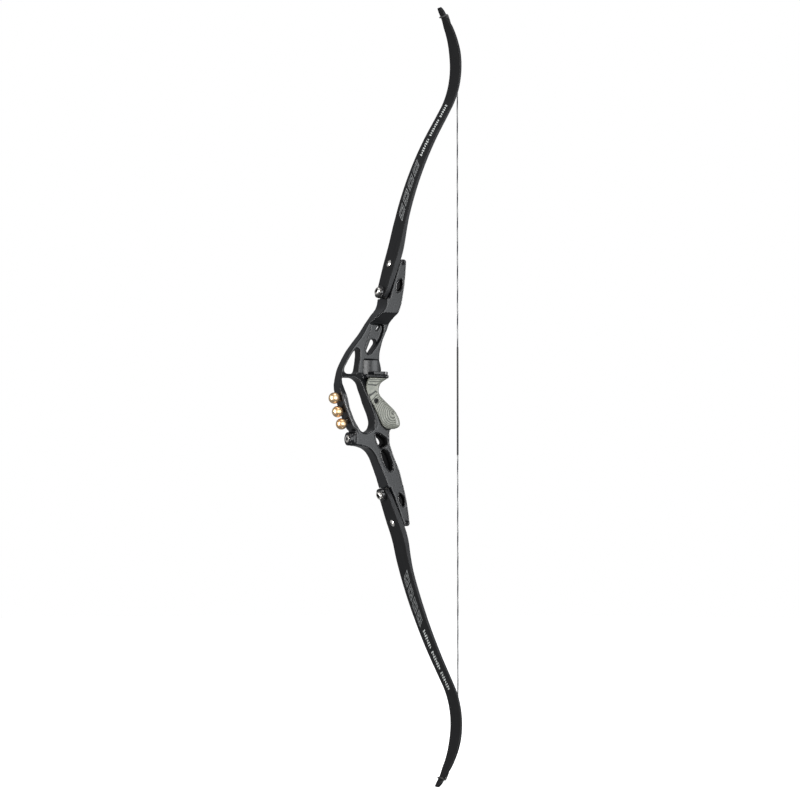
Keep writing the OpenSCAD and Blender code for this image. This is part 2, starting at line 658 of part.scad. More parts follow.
module upper_bolt_insert() { upper_end() bolt_insert(); }
module lower_bolt_insert() { lower_end() bolt_insert(); }
module upper_limb_bolt() { upper_end() limb_bolt(); }
module lower_limb_bolt() { lower_end() limb_bolt(); }
module upper_lock_screw() { upper_end() lock_screw(); }
module lower_lock_screw() { lower_end() lock_screw(); }
module upper_dovetail() { upper_end() dovetail(); }
module lower_dovetail() { lower_end() dovetail(); }
module upper_dovetail_screw() { upper_end() dovetail_screw(); }
module lower_dovetail_screw() { lower_end() dovetail_screw(); }
module upper_detent_pin() { upper_end() detent_pin(); }
module lower_detent_pin() { lower_end() detent_pin(); }
module upper_detent_spring() { upper_end() detent_spring(); }
module lower_detent_spring() { lower_end() detent_spring(); }

// One layer of a limb: from n0 to n1 of its middle line, each as a list over the stations
module limb_layer(line, n0, n1) {
    inner = [for (i = [0:len(line) - 1]) beside(line, line[i][0], n0[i])];
    outer = [for (i = [0:len(line) - 1]) beside(line, line[i][0], n1[i])];
    intersection() {
        slab(-past, past) polygon(concat(inner, reversed(outer)));
        front_slab(-past, 4 * past) limb_front(line);
    }
}
module limb_front(line) {
    polygon(concat([for (p = line) [lookup(p[0], width) / 2, p[2]]],
        [for (p = reversed(line)) [-lookup(p[0], width) / 2, p[2]]]));
}
// The bolt's slot, the fitting's hole and the string's nocks
module seat_cuts() {
    rod(bolt_d + 1, -5, past);
    translate([-past, -bolt_d / 2 - 0.5, -5]) cube([past, bolt_d + 1, past]);
    translate([dovetail_s, 0, 0]) rod(sleeve_d + 2 * slip, -5, past);
}
module nock_cuts(line) {
    p = beside(line, nock_s, 0);
    for (y = [-1, 1]) translate([p[0], y * (nock_w / 2 + nock_out), p[1]])
        rotate([0, lookup(nock_s, column(line, 3)) - 90, 0])
            cylinder(r = nock_r, h = past / 2, center = true);
}
function offsets(line, side, depth) = [for (p = line) side * (half_t(p[0]) - depth)];
module limb_core(line) { limb_layer(line, offsets(line, -1, glass_t), offsets(line, 1, glass_t)); }
module limb_back(line) { limb_layer(line, offsets(line, 1, glass_t), offsets(line, 1, 0)); }
module limb_belly(line) { limb_layer(line, offsets(line, -1, 0), offsets(line, -1, glass_t)); }
module tip_overlay(line) {
    s = [for (i = [0:4]) overlay_s[0] + i * (overlay_s[1] - overlay_s[0]) / 4];
    deep = [0.4, overlay_t, overlay_t, overlay_t * 0.9, 0.6];
    difference() {
        slab(-overlay_w / 2, overlay_w / 2) polygon(concat(
            [for (v = s) beside(line, v, glass_t / 2 - half_t(v))],
            [for (i = [4:-1:0]) beside(line, s[i], -half_t(s[i]) - deep[i])]));
        limb_belly(line);
        nock_cuts(line);
    }
}
module upper_part() {
    difference() {
        children(0);
        upper_end() seat_cuts();
        nock_cuts(upper_line);
    }
}
module lower_part() {
    difference() {
        mirror([0, 0, 1]) children(0);
        lower_end() seat_cuts();
        mirror([0, 0, 1]) nock_cuts(lower_line);
    }
}
module upper_limb_core() { color(limb_grey) upper_part() limb_core(upper_line); }
module upper_limb_back() { color(limb_black) upper_part() limb_back(upper_line); }
module upper_limb_belly() { color(limb_black) upper_part() limb_belly(upper_line); }
module upper_tip_overlay() { color(limb_black) tip_overlay(upper_line); }
module lower_limb_core() { color(limb_grey) lower_part() limb_core(lower_line); }
module lower_limb_back() { color(limb_black) lower_part() limb_back(lower_line); }
module lower_limb_belly() { color(limb_black) lower_part() limb_belly(lower_line); }
module lower_tip_overlay() { color(limb_black) mirror([0, 0, 1]) tip_overlay(lower_line); }

// The string: a straight half from the nocking point to each limb, and its served loops
module straight_string(z0, z1) { translate([string_x, 0, 0]) rod(string_d, z0, z1); }
module serving(z0, z1) { translate([string_x, 0, 0]) tube(serving_d, string_d, z0, z1); }
module upper_string() { color(string_grey) straight_string(nock_z, upper_touch[1] - string_room); }
module lower_string() { color(string_grey) straight_string(string_room - lower_touch[1], nock_z); }
module upper_serving() { color(string_grey) serving(nock_z, serving_top); }
module lower_serving() { color(string_grey) serving(serving_bottom, nock_z); }

// A tube along points [x, y, z, diameter], with frames that don't twist
module sweep_tube(path) {
    n = len(path);
    points = [for (p = path) [p[0], p[1], p[2]]];
    along = [for (i = [0:n - 1]) unit(points[min(i + 1, n - 1)] - points[max(i - 1, 0)])];
    sides = [for (i = 0, u = unit(cross(along[0], [1, 0.2, 0.1])); i < n;
        i = i + 1, u = i < n ? unit(u - (u * along[i]) * along[i]) : u) u];
    polyhedron([for (i = [0:n - 1], k = [0:string_sides - 1]) let (a = 360 * k / string_sides)
            points[i] + path[i][3] / 2 * (cos(a) * sides[i] + sin(a) * cross(along[i], sides[i]))],
        concat([[for (k = [0:string_sides - 1]) k]],
            [[for (k = [string_sides - 1:-1:0]) (n - 1) * string_sides + k]],
            [for (i = [0:n - 2], k = [0:string_sides - 1])
                let (a = i * string_sides + k, b = i * string_sides + (k + 1) % string_sides)
                each [[a, a + string_sides, b], [b, a + string_sides, b + string_sides]]]));
}
// From the touching point down the belly, and round both nocks back to the split
module string_end(line, touch_s) {
    off = half_t(nock_s) + loop_d / 2 + string_room;
    side = nock_w / 2 + nock_out;
    branch = [[split_s + 5, side * 0.4, -off], [split_s + 10, side * 0.7, -off],
        [split_s + 16, side * 0.87, -off], [split_s + 21, side * 0.96, -off],
        [nock_s - 1.4, side, -off], [nock_s, side, -off + 1.4], [nock_s, side, 0],
        [nock_s, side, off - 1.2], [nock_s, side - 0.8, off - 0.2], [nock_s, side - 2.6, off]];
    loop = concat(branch, [for (p = reversed(branch)) [p[0], -p[1], p[2]]]);
    sweep_tube(concat(
        [for (i = [0:wrap_count]) let (s = touch_s + i * (split_s - touch_s) / wrap_count)
            concat(on_limb(line, s, 0, string_off - string_room - half_t(s)), string_d)],
        [for (p = loop) concat(on_limb(line, p[0], p[1], p[2]), loop_d)]));
}
function on_limb(line, s, y, n) = let (p = beside(line, s, n)) [p[0], y, p[1]];
module upper_string_end() { color(string_grey) string_end(upper_line, upper_touch_s); }
module lower_string_end() { color(string_grey) mirror([0, 0, 1]) string_end(lower_line, lower_touch_s); }

riser();
arrow_shelf();
grip();
grip_screw();
stabilizer_bushing();
top_weight();
middle_weight();
bottom_weight();
weight_studs();
alignment_screws();
upper_bolt_insert();
lower_bolt_insert();
upper_limb_bolt();
lower_limb_bolt();
upper_lock_screw();
lower_lock_screw();
upper_dovetail();
lower_dovetail();
upper_dovetail_screw();
lower_dovetail_screw();
upper_detent_pin();
lower_detent_pin();
upper_detent_spring();
lower_detent_spring();
upper_limb_core();
upper_limb_back();
upper_limb_belly();
upper_tip_overlay();
lower_limb_core();
lower_limb_back();
lower_limb_belly();
lower_tip_overlay();
upper_string();
lower_string();
upper_serving();
lower_serving();
upper_string_end();
lower_string_end();
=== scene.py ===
"""Looks of the take-down recurve bow, built round its CAD parts.

Lengths are in millimetres, and MM turns them into metres. In the row frame x runs from the riser
to the string and z up, and the photo shows the side that faces -y.
"""
import math

import bmesh
import bpy
from mathutils import Matrix, Vector
from mathutils.kdtree import KDTree


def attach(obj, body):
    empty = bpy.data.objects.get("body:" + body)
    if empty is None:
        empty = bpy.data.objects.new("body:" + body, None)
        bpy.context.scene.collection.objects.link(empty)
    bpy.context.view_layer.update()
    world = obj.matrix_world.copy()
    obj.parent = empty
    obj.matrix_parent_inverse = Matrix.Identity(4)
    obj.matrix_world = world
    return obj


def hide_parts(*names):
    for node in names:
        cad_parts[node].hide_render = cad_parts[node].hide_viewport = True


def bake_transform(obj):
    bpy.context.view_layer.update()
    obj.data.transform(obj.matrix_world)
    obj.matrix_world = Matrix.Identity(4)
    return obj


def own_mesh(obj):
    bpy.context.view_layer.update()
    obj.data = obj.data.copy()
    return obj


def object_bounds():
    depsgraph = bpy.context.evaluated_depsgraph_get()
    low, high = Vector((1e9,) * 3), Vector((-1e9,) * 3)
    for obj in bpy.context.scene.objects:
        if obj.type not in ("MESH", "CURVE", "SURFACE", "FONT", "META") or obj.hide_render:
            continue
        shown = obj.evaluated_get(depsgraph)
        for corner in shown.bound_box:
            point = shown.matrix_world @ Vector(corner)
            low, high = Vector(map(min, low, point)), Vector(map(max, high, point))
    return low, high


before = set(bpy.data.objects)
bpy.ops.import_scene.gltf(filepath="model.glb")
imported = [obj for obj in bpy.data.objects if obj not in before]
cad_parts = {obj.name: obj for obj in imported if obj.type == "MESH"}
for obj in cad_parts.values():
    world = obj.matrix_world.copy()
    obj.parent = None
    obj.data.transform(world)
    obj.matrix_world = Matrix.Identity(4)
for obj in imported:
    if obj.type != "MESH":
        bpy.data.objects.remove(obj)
cad_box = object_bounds()
MM = 0.001

# The bow's own measures, as part.scad has them. A seat is its bolt's x and z and its lean in
# degrees. Stations run along a limb from its bolt, and a strung limb leans by LEANS at STOPS.
SEATS = {"upper": (17.2, 181.2, 18.0), "lower": (20.7, 186.6, 21.8)}
UP = {"upper": 1, "lower": -1}
SEAT_MID, SEAT_TOP = 6.25, 11.5
BUTT_TAPER, BUTT_RUN = 1.5, 50
STOPS = [70, 110, 170, 345, 385, 545, 589]
LEANS = {
    "upper": [18.0, 11.7, 16.7, 30.8, 29.6, -24.6, -32.4],
    "lower": [21.8, 10.1, 18.1, 27.0, 27.3, -28.1, -36.2],
}
THICKNESS = ([0, 50, 85, 150, 300, 400, 470], [9, 10.5, 10.5, 6.4, 5.8, 4.6, 4.4])
LIMB_START, LIMB_STEP, LIMB_STEPS = -8.0, 9.95, 60
DOVETAIL_S = 58
NOCK_S, NOCK_SIDE = 571.0, 8.2


def look(x, xs, ys):
    """Value at x of a table, straight between its rows."""
    if x <= xs[0]:
        return ys[0]
    for i in range(1, len(xs)):
        if x <= xs[i]:
            t = (x - xs[i - 1]) / (xs[i] - xs[i - 1])
            return ys[i - 1] + t * (ys[i] - ys[i - 1])
    return ys[-1]


def side_at(z):
    """The side of the bow that a height is on."""
    return "upper" if z > 0 else "lower"


def seat_axes(side):
    """Bolt point, direction along the limb and direction out of the seat, in the row frame."""
    x, z, lean = SEATS[side]
    a, sign = math.radians(lean), UP[side]
    point = Vector((x, 0, sign * z)) * MM
    along = Vector((math.sin(a), 0, sign * math.cos(a)))
    out = Vector((-math.cos(a), 0, sign * math.sin(a)))
    return point, along, out


def seat_point(side, s, n):
    """Point at station s of a seat and height n over it, in the row frame."""
    point, along, out = seat_axes(side)
    return point + along * (s * MM) + out * (n * MM)


def limb_line(side):
    """A limb's middle line, as lists of its stations, x, height from the middle and lean."""
    x, z, lean = SEATS[side]
    a = math.radians(lean)
    px = x + LIMB_START * math.sin(a) - SEAT_MID * math.cos(a)
    pz = z + LIMB_START * math.cos(a) + SEAT_MID * math.sin(a)
    rows, s = [], LIMB_START
    for i in range(LIMB_STEPS + 1):
        rows.append((s, px, pz, look(s, STOPS, LEANS[side])))
        m = math.radians(look(s + LIMB_STEP / 2, STOPS, LEANS[side]))
        px += LIMB_STEP * math.sin(m)
        pz += LIMB_STEP * math.cos(m)
        s = LIMB_START + (i + 1) * LIMB_STEP
    return [list(column) for column in zip(*rows)]


LINES = {side: limb_line(side) for side in SEATS}


def on_limb(side, s, y, n):
    """Point beside a limb's middle line, n towards its front, in the row frame."""
    stations, xs, zs, leans = LINES[side]
    a = math.radians(look(s, stations, leans))
    px, pz = look(s, stations, xs), look(s, stations, zs)
    return Vector((px - n * math.cos(a), y, UP[side] * (pz + n * math.sin(a)))) * MM


def half_t(s):
    """Half a limb's thickness at a station."""
    return look(s, *THICKNESS) / 2


def touch_s(side):
    """Station where the string leaves a limb, which is where the limb stands upright."""
    a, b = LEANS[side][4:6]
    return STOPS[4] + (STOPS[5] - STOPS[4]) * a / (a - b)


def s_at(side, z):
    """Station of a limb where its middle line is z from the row's middle."""
    stations, _, zs, _ = LINES[side]
    return look(z, zs, stations)


# Mesh helpers

TURN_SIDES = 72


def linked(name, data):
    """A new object in the scene."""
    obj = bpy.data.objects.new(name, data)
    bpy.context.scene.collection.objects.link(obj)
    return obj


def new_object(name, bm, smooth=True):
    """A new object from a bmesh, which is freed."""
    mesh = bpy.data.meshes.new(name)
    bm.to_mesh(mesh)
    bm.free()
    if smooth:
        mesh.shade_smooth()
    return linked(name, mesh)


def copy_of(node, name):
    """A copy of a CAD node, without its material."""
    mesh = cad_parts[node].data.copy()
    mesh.materials.clear()
    return linked(name, mesh)


def modified(obj, kind, **settings):
    """Adds a modifier to an object and turns it into its mesh."""
    mod = obj.modifiers.new(kind.lower(), kind)
    for key, value in settings.items():
        setattr(mod, key, value)
    bpy.context.view_layer.update()
    dg = bpy.context.evaluated_depsgraph_get()
    mesh = bpy.data.meshes.new_from_object(obj.evaluated_get(dg), depsgraph=dg)
    old = obj.data
    obj.modifiers.clear()
    obj.data = mesh
    bpy.data.meshes.remove(old)


def smoothed(obj, rounds):
    """Evens out a fine mesh."""
    modified(obj, "SMOOTH", factor=0.5, iterations=rounds)
    obj.data.shade_smooth()


def remeshed(obj, voxel):
    """Gives an object an even mesh of small squares."""
    modified(obj, "REMESH", mode="VOXEL", voxel_size=voxel * MM, use_smooth_shade=True)


def weighted(obj, angle=35):
    """Smooth shading that leaves edges sharper than angle, in degrees, crisp."""
    obj.data.shade_smooth()
    obj.data.set_sharp_from_angle(angle=math.radians(angle))
    mod = obj.modifiers.new("normals", "WEIGHTED_NORMAL")
    mod.keep_sharp = True
    mod.weight = 60


def cleaned(obj):
    """A bmesh of an object's CAD mesh, its doubled points and flat triangles merged."""
    bm = bmesh.new()
    bm.from_mesh(obj.data)
    bmesh.ops.remove_doubles(bm, verts=bm.verts, dist=2e-6)
    flat = math.radians(0.6)
    bmesh.ops.dissolve_limit(bm, angle_limit=flat, verts=bm.verts, edges=bm.edges)
    return bm


def dressed(node, name, width, pick=None, segments=2, angle=50):
    """A copy of a CAD node with its edges sharper than angle, in degrees, rounded. pick(edge)
    says which of them are."""
    obj = copy_of(node, name)
    bm = cleaned(obj)
    sharp = math.radians(angle)
    edges = [e for e in bm.edges if len(e.link_faces) == 2 and e.calc_face_angle(0) > sharp]
    if pick:
        edges = [e for e in edges if pick(e)]
    bmesh.ops.bevel(bm, geom=edges, offset=width * MM, segments=segments, profile=0.5,
                    affect="EDGES", clamp_overlap=False)
    bm.to_mesh(obj.data)
    bm.free()
    weighted(obj, 40)
    return obj


def placed(origin, along):
    """The transform that takes the origin to a point and Z to a direction."""
    return Matrix.Translation(origin) @ Vector(along).to_track_quat("Z", "Y").to_matrix().to_4x4()


def circle(bm, radius, h, sides):
    """New points of a ring round Z."""
    turns = (2 * math.pi * k / sides for k in range(sides))
    return [bm.verts.new((radius * MM * math.cos(t), radius * MM * math.sin(t), h * MM))
            for t in turns]


def bridge(bm, rings):
    """New faces between rings that have as many points as each other."""
    for a, b in zip(rings, rings[1:]):
        for k in range(len(a)):
            k2 = (k + 1) % len(a)
            bm.faces.new((a[k], a[k2], b[k2], b[k]))


def lathe(name, rows, origin, along):
    """A turned piece from (radius, height) rows, from its foot up."""
    bm = bmesh.new()
    rings = [circle(bm, r, h, TURN_SIDES) if r > 1e-6 else [bm.verts.new((0, 0, h * MM))]
             for r, h in rows]
    for a, b in zip(rings, rings[1:]):
        for k in range(TURN_SIDES):
            k2 = (k + 1) % TURN_SIDES
            if len(a) == 1:
                bm.faces.new((b[k], b[k2], a[0]))
            elif len(b) == 1:
                bm.faces.new((a[k], a[k2], b[0]))
            else:
                bm.faces.new((a[k], a[k2], b[k2], b[k]))
    bmesh.ops.recalc_face_normals(bm, faces=bm.faces)
    bm.transform(placed(origin, along))
    return new_object(name, bm)


def cut_hex(obj, radius, low, high, origin, along):
    """Cuts a hexagonal socket between two heights on a piece's axis."""
    bm = bmesh.new()
    rings = [circle(bm, radius, h, 6) for h in (low, high)]
    bm.faces.new(rings[0][::-1])
    bm.faces.new(rings[1])
    bridge(bm, rings)
    bm.transform(placed(origin, along))
    cutter = new_object("cutter", bm, smooth=False)
    modified(obj, "BOOLEAN", operation="DIFFERENCE", solver="EXACT", object=cutter)
    bpy.data.objects.remove(cutter)


def painted_socket_shade(obj, origin, along, radius, top):
    """Gives the faces inside a socket or a bore, below its top, a dull, dark colour that is painted
    shade.
    """
    obj.data.materials.append(SOCKET_SHADE)
    dark = len(obj.data.materials) - 1
    axis = Vector(along).normalized()
    for face in obj.data.polygons:
        d = face.center - origin
        high = d.dot(axis)
        if high < (top - 0.02) * MM and (d - axis * high).length < radius * MM:
            face.material_index = dark


def directions(points):
    """A line's direction at each of its points."""
    last = len(points) - 1
    return [(points[min(i + 1, last)] - points[max(i - 1, 0)]).normalized()
            for i in range(last + 1)]


def lengths(points):
    """How far along a line each of its points is."""
    far = [0.0]
    for a, b in zip(points, points[1:]):
        far.append(far[-1] + (b - a).length / MM)
    return far


def tube(name, points, radius, sides, ends=None, pitch=None, depth=0.0):
    """A tube along points in metres. ends is its radius at its first and last point, and pitch
    and depth give it the ridge of a wound thread."""
    along, far = directions(points), lengths(points)
    twist = 2 * math.pi / pitch if pitch else 0.0
    u = along[0].orthogonal().normalized()
    bm = bmesh.new()
    rings = []
    for i, (p, d) in enumerate(zip(points, along)):
        u = (u - d * u.dot(d)).normalized()
        v = d.cross(u)
        crest = ends if ends and i in (0, len(points) - 1) else radius
        ring = []
        for k in range(sides):
            t = 2 * math.pi * k / sides
            r = crest - depth * (0.5 - 0.5 * math.cos(t - twist * far[i]))
            ring.append(bm.verts.new(p + (u * math.cos(t) + v * math.sin(t)) * r * MM))
        rings.append(ring)
    bridge(bm, rings)
    bm.faces.new(rings[0][::-1])
    bm.faces.new(rings[-1])
    return new_object(name, bm)


def smooth_path(points, per):
    """A Catmull-Rom line through points, with per steps between two of them."""
    out = []
    last = len(points) - 1
    for i in range(last):
        a, b, c, d = points[max(i - 1, 0)], points[i], points[i + 1], points[min(i + 2, last)]
        bend = 2 * a - 5 * b + 4 * c - d
        skew = 3 * (b - c) + d - a
        for j in range(per):
            t = j / per
            out.append(b + 0.5 * t * ((c - a) + t * (bend + t * skew)))
    return out + [points[-1]]


def joined(name, parts):
    """One object from several, keeping each one's materials."""
    bm = bmesh.new()
    materials = []
    for p in parts:
        start = len(bm.faces)
        bm.from_mesh(p.data)
        bm.faces.ensure_lookup_table()
        slots = list(p.data.materials)
        for m in slots:
            if m not in materials:
                materials.append(m)
        for f in bm.faces[start:]:
            f.material_index = materials.index(slots[f.material_index])
    obj = new_object(name, bm)
    for m in materials:
        obj.data.materials.append(m)
    for p in parts:
        bpy.data.objects.remove(p)
    return obj


def coloured(obj, material):
    """An object with one more material."""
    obj.data.materials.append(material)
    return obj


def finish_piece(obj, material, slot, body=None, *nodes):
    """Gives a piece its material, its body and the nodes it stands for, whose CAD parts it hides;
    slot is not used.
    A piece of several materials keeps them, and a blended piece has no body of its own."""
    if material is not None:
        obj.data.materials.clear()
        obj.data.materials.append(material)
    if body:
        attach(obj, body)
    if nodes:
        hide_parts(*nodes)


# Materials

# The grip's layers show as rings round a point (x, z) of its side. They sink by LAYER_SINK for
# each millimetre away from it, up to RING_REACH, and turn up again above the height FLARE_FROM.
RING_CENTRE, RING_REACH, RING_SOFT = (26.0, -37.6), 50, 12
LAYER, LAYER_SINK, LAYER_WOBBLE = 1.5, 0.34, 1.4
FLARE_FROM, FLARE_PER_METRE = 6, 11.0


class Maker:
    """Short calls for the nodes of one material."""

    def __init__(self, name):
        self.mat = bpy.data.materials.new(name)
        self.mat.use_nodes = True
        self.nodes = self.mat.node_tree.nodes
        self.links = self.mat.node_tree.links
        self.shader = self.nodes["Principled BSDF"]

    def node(self, kind, **inputs):
        """A new node, with its properties and sockets set by name."""
        made = self.nodes.new(kind)
        for key, value in inputs.items():
            if hasattr(made, key):
                setattr(made, key, value)
            else:
                self.put(made, key.replace("_", " "), value)
        return made

    def put(self, node, socket, value):
        """Links a socket to another node's output, or sets its value."""
        if hasattr(value, "is_output"):
            self.links.new(value, node.inputs[socket])
        else:
            node.inputs[socket].default_value = value

    def set(self, **inputs):
        """Sets the shader's own sockets."""
        for key, value in inputs.items():
            self.put(self.shader, key.replace("_", " "), value)

    def noise(self, scale, detail=3.0, roughness=0.6, stretch=(1, 1, 1)):
        """Noise in the row frame, drawn out along an axis where its stretch is below 1."""
        coords = self.node("ShaderNodeTexCoord").outputs["Object"]
        where = self.node("ShaderNodeMapping", Vector=coords, Scale=stretch).outputs["Vector"]
        return self.node("ShaderNodeTexNoise", Vector=where, Scale=scale, Detail=detail,
                         Roughness=roughness).outputs["Fac"]

    def ramp(self, fac, *stops):
        """Colour between two (place, colour) stops."""
        node = self.node("ShaderNodeValToRGB", Fac=fac)
        for mark, (place, colour) in zip(node.color_ramp.elements, stops):
            mark.position = place
            mark.color = (*colour, 1)
        return node.outputs["Color"]

    def spread(self, fac, low, high):
        """Takes noise, which lies about its middle, to low and high."""
        return self.node("ShaderNodeMapRange", **{"Value": fac, "From_Min": 0.3, "From_Max": 0.7,
                                                  "To_Min": low, "To_Max": high}).outputs["Result"]

    def math(self, kind, *values):
        node = self.node("ShaderNodeMath", operation=kind)
        for k, value in enumerate(values):
            self.put(node, k, value)
        return node.outputs["Value"]

    def bump(self, height, depth, strength):
        return self.node("ShaderNodeBump", Height=height, Distance=depth * MM,
                         Strength=strength).outputs["Normal"]


def grey(v):
    """A neutral colour, linear."""
    return (v, v, v)


def srgb(r, g, b):
    """A linear colour from its 0 to 255 screen values."""
    return tuple(((c / 255 + 0.055) / 1.055) ** 2.4 if c > 10 else c / 255 / 12.92
                 for c in (r, g, b))


def anodised(name, low, high, rough, specular=0.5):
    """Bead-blasted, black anodised metal with a satin sheen."""
    m = Maker(name)
    colour = m.ramp(m.noise(38, 4.0), (0.3, low), (0.7, high))
    blasted = m.noise(1500, 2.0)
    m.set(Base_Color=colour, Roughness=m.spread(blasted, rough - 0.03, rough + 0.05),
          Specular_IOR_Level=specular, Normal=m.bump(blasted, 0.004, 0.2))
    return m.mat


def limb_glass(name, low, high, rough, specular):
    """Black glass-fibre laminate with lengthwise grain under a satin lacquer."""
    m = Maker(name)
    grain = m.noise(220, 4.0, 0.65, (1, 1, 0.05))
    colour = m.ramp(grain, (0.35, low), (0.7, high))
    m.set(Base_Color=colour, Roughness=m.spread(m.noise(70), rough - 0.05, rough + 0.06),
          Specular_IOR_Level=specular, Normal=m.bump(grain, 0.03, 0.3))
    return m.mat


def polished(name, colour, rough, marks):
    """Steel with a soft polish and faint turning marks."""
    m = Maker(name)
    tint = tuple(c * 0.8 for c in colour)
    m.set(Base_Color=m.ramp(m.noise(160, 4.0), (0.35, tint), (0.65, colour)), Metallic=0.86,
          Roughness=m.spread(m.noise(420), rough, rough + marks),
          Normal=m.bump(m.noise(1500, 2.0), 0.008, 0.4))
    return m.mat


def satin_brass(name):
    """Lacquered brass with a soft brushed lustre and a warmer tarnish here and there."""
    m = Maker(name)
    colour = m.ramp(m.noise(55, 2.0), (0.35, srgb(240, 197, 148)), (0.65, srgb(253, 223, 180)))
    m.set(Base_Color=colour, Metallic=1.0, Roughness=m.spread(m.noise(200), 0.34, 0.42),
          Normal=m.bump(m.noise(1800, 2.0), 0.01, 0.5))
    return m.mat


def gloss_black(name):
    """Smooth black finish of the bolts' barrels."""
    m = Maker(name)
    m.set(Base_Color=m.ramp(m.noise(90), (0.3, grey(0.006)), (0.7, grey(0.014))),
          Roughness=m.spread(m.noise(300), 0.14, 0.24), Specular_IOR_Level=0.6)
    return m.mat


def laminate(name):
    """Pale pressed wood: thin layers with dark lines between them that lie across the grip, so
    that they show as rings where its sides are rounded."""
    m = Maker(name)
    parts = m.node("ShaderNodeSeparateXYZ", Vector=m.node("ShaderNodeTexCoord").outputs["Object"])
    x, y, z = (parts.outputs[k] for k in "XYZ")
    dx = m.math("SUBTRACT", x, RING_CENTRE[0] * MM)
    dz = m.math("SUBTRACT", z, RING_CENTRE[1] * MM)
    heel = m.math("SQRT", m.math("ADD", m.math("MULTIPLY", dx, dx), m.math("MULTIPLY", dz, dz)))
    far = m.math("SMOOTH_MIN", heel, RING_REACH * MM, RING_SOFT * MM)
    over = m.math("MAXIMUM", m.math("SUBTRACT", z, FLARE_FROM * MM), 0.0)
    flare = m.math("MULTIPLY", m.math("MULTIPLY", over, over), FLARE_PER_METRE)
    sink = m.math("MULTIPLY", far, LAYER_SINK)
    depth = m.math("SUBTRACT", m.math("ADD", m.math("ABSOLUTE", y), flare), sink)
    wobble = m.math("MULTIPLY", m.math("SUBTRACT", m.noise(30, 1.0), 0.5), LAYER_WOBBLE * MM)
    layer = m.math("FRACT", m.math("DIVIDE", m.math("ADD", depth, wobble), LAYER * MM))
    line = m.ramp(m.math("PINGPONG", layer, 0.5), (0.1, grey(1)), (0.19, grey(0)))
    hair = m.noise(900, 4.0, 0.7, (1, 1, 0.25))
    pale = m.ramp(m.noise(130, 4.0), (0.3, srgb(122, 125, 116)), (0.7, srgb(152, 153, 143)))
    dark = m.ramp(hair, (0.3, srgb(24, 26, 24)), (0.75, srgb(50, 52, 47)))
    mix = m.node("ShaderNodeMix", data_type="RGBA")
    for socket, value in (("Factor", line), ("A", pale), ("B", dark)):
        m.put(mix, socket, value)
    m.set(Base_Color=mix.outputs["Result"], Roughness=m.spread(hair, 0.38, 0.5),
          Coat_Weight=0.12, Coat_Roughness=0.25, Normal=m.bump(hair, 0.03, 0.35))
    return m.mat


def fibre(name, low, high, rough=0.55):
    """Waxed thread or matt print: fine hairs that run along the limbs and the string."""
    m = Maker(name)
    hair = m.noise(2400, 3.0, 0.7, (1, 1, 0.12))
    m.set(Base_Color=m.ramp(hair, (0.3, low), (0.7, high)),
          Roughness=m.spread(hair, rough - 0.1, rough + 0.15),
          Specular_IOR_Level=0.4, Normal=m.bump(hair, 0.04, 0.6))
    return m.mat


RISER = anodised("riser_anodised", srgb(11, 12, 13), srgb(19, 20, 23), 0.27)
# Rougher finish of the hollows and recesses, with a darker colour that is painted shade
POCKET_SHADE = anodised("riser_pocket_painted_shade", srgb(6, 6, 7), srgb(12, 12, 14), 0.48, 0.22)
SHELF = anodised("shelf_anodised", srgb(14, 15, 16), srgb(22, 23, 26), 0.25)
STEEL_BLACK = gloss_black("bolt_black")
SCREW_BLACK = anodised("screw_black", grey(0.003), grey(0.008), 0.42, 0.18)
STAINLESS = polished("stainless", (0.93, 0.90, 0.85), 0.24, 0.08)
BRASS = satin_brass("brass")
# Inside of sockets and bores: dull and dark as painted shade
SOCKET_SHADE = anodised("socket_painted_shade", srgb(8, 8, 9), srgb(20, 19, 18), 0.5, 0.3)
SPRING = polished("spring_steel", (0.5, 0.49, 0.47), 0.25, 0.12)
CORE = limb_glass("limb_core_side", srgb(18, 18, 20), srgb(28, 29, 32), 0.42, 0.34)
GLASS = limb_glass("limb_glass_black", srgb(14, 14, 15), srgb(22, 22, 23), 0.46, 0.25)
OVERLAY = limb_glass("tip_overlay_black", srgb(18, 18, 19), srgb(28, 28, 29), 0.4, 0.35)
GRIP = laminate("grip_laminate")
STRING_DARK = fibre("string_dark", srgb(28, 31, 38), srgb(46, 50, 58))
STRING_LIGHT = fibre("string_light", grey(0.26), grey(0.46))
MARK_GREY = fibre("print_grey", srgb(116, 118, 118), srgb(140, 142, 142), 0.5)
MARK_PALE = fibre("print_pale", srgb(176, 180, 178), srgb(205, 208, 205), 0.5)
SERVING = fibre("serving_thread", grey(0.022), grey(0.055))

# Riser, shelf and grip

RISER_VOXEL, QUICK_VOXEL, RISER_SMOOTHING = 0.8, 1.2, 12
# Rounding of the side edges. Past SEATS_FROM a height belongs to a limb's seat.
SEATS_FROM = 150
SIDE_ROUND, THIN_ROUND, THIN_HALF = 2.6, 1.8, 10
SEAT_ROUND, END_ROUND, SEAT_DEEP = 0.9, 2.2, 6
# An edge found on a side: how sharp it is in degrees, and how its two faces lie to y
EDGE_SHARP, EDGE_STEP, FLAT_Y, WALL_Y = 30, 0.7, 0.4, 0.35
# An edge doesn't round what is more than EDGE_OVER over it, nor a flat side more than EDGE_UNDER
# below it, and both grow with the distance from it. A side's normal has more than SIDE_Y in y.
EDGE_OVER, EDGE_UNDER, SIDE_Y = 0.6, 1.2, 0.5
# The grooves beside the hand opening, on the near side only: the bar's lies where x is below
# BAR_BACK and the column's where it is below COLUMN_BACK. faded() ends each one softly in z.
GROOVE_SIDE, GROOVE_SLACK, GROOVE_Z = 14.9, 2.2, (-90, -4)
BAR_BACK, BAR_FADE = -42, (-68, -18, 12)
BAR_GROOVE = ([0, 0.22, 0.4, 0.5, 0.9, 1.0], [0, 0.0, 1.9, 1.9, 0.5, 0.5])
COLUMN_BACK, COLUMN_FADE = 2, (-62, -16, 10)
GROOVE_AT, GROOVE_HALF, GROOVE_DEEP = 4.4, 1.5, 1.1
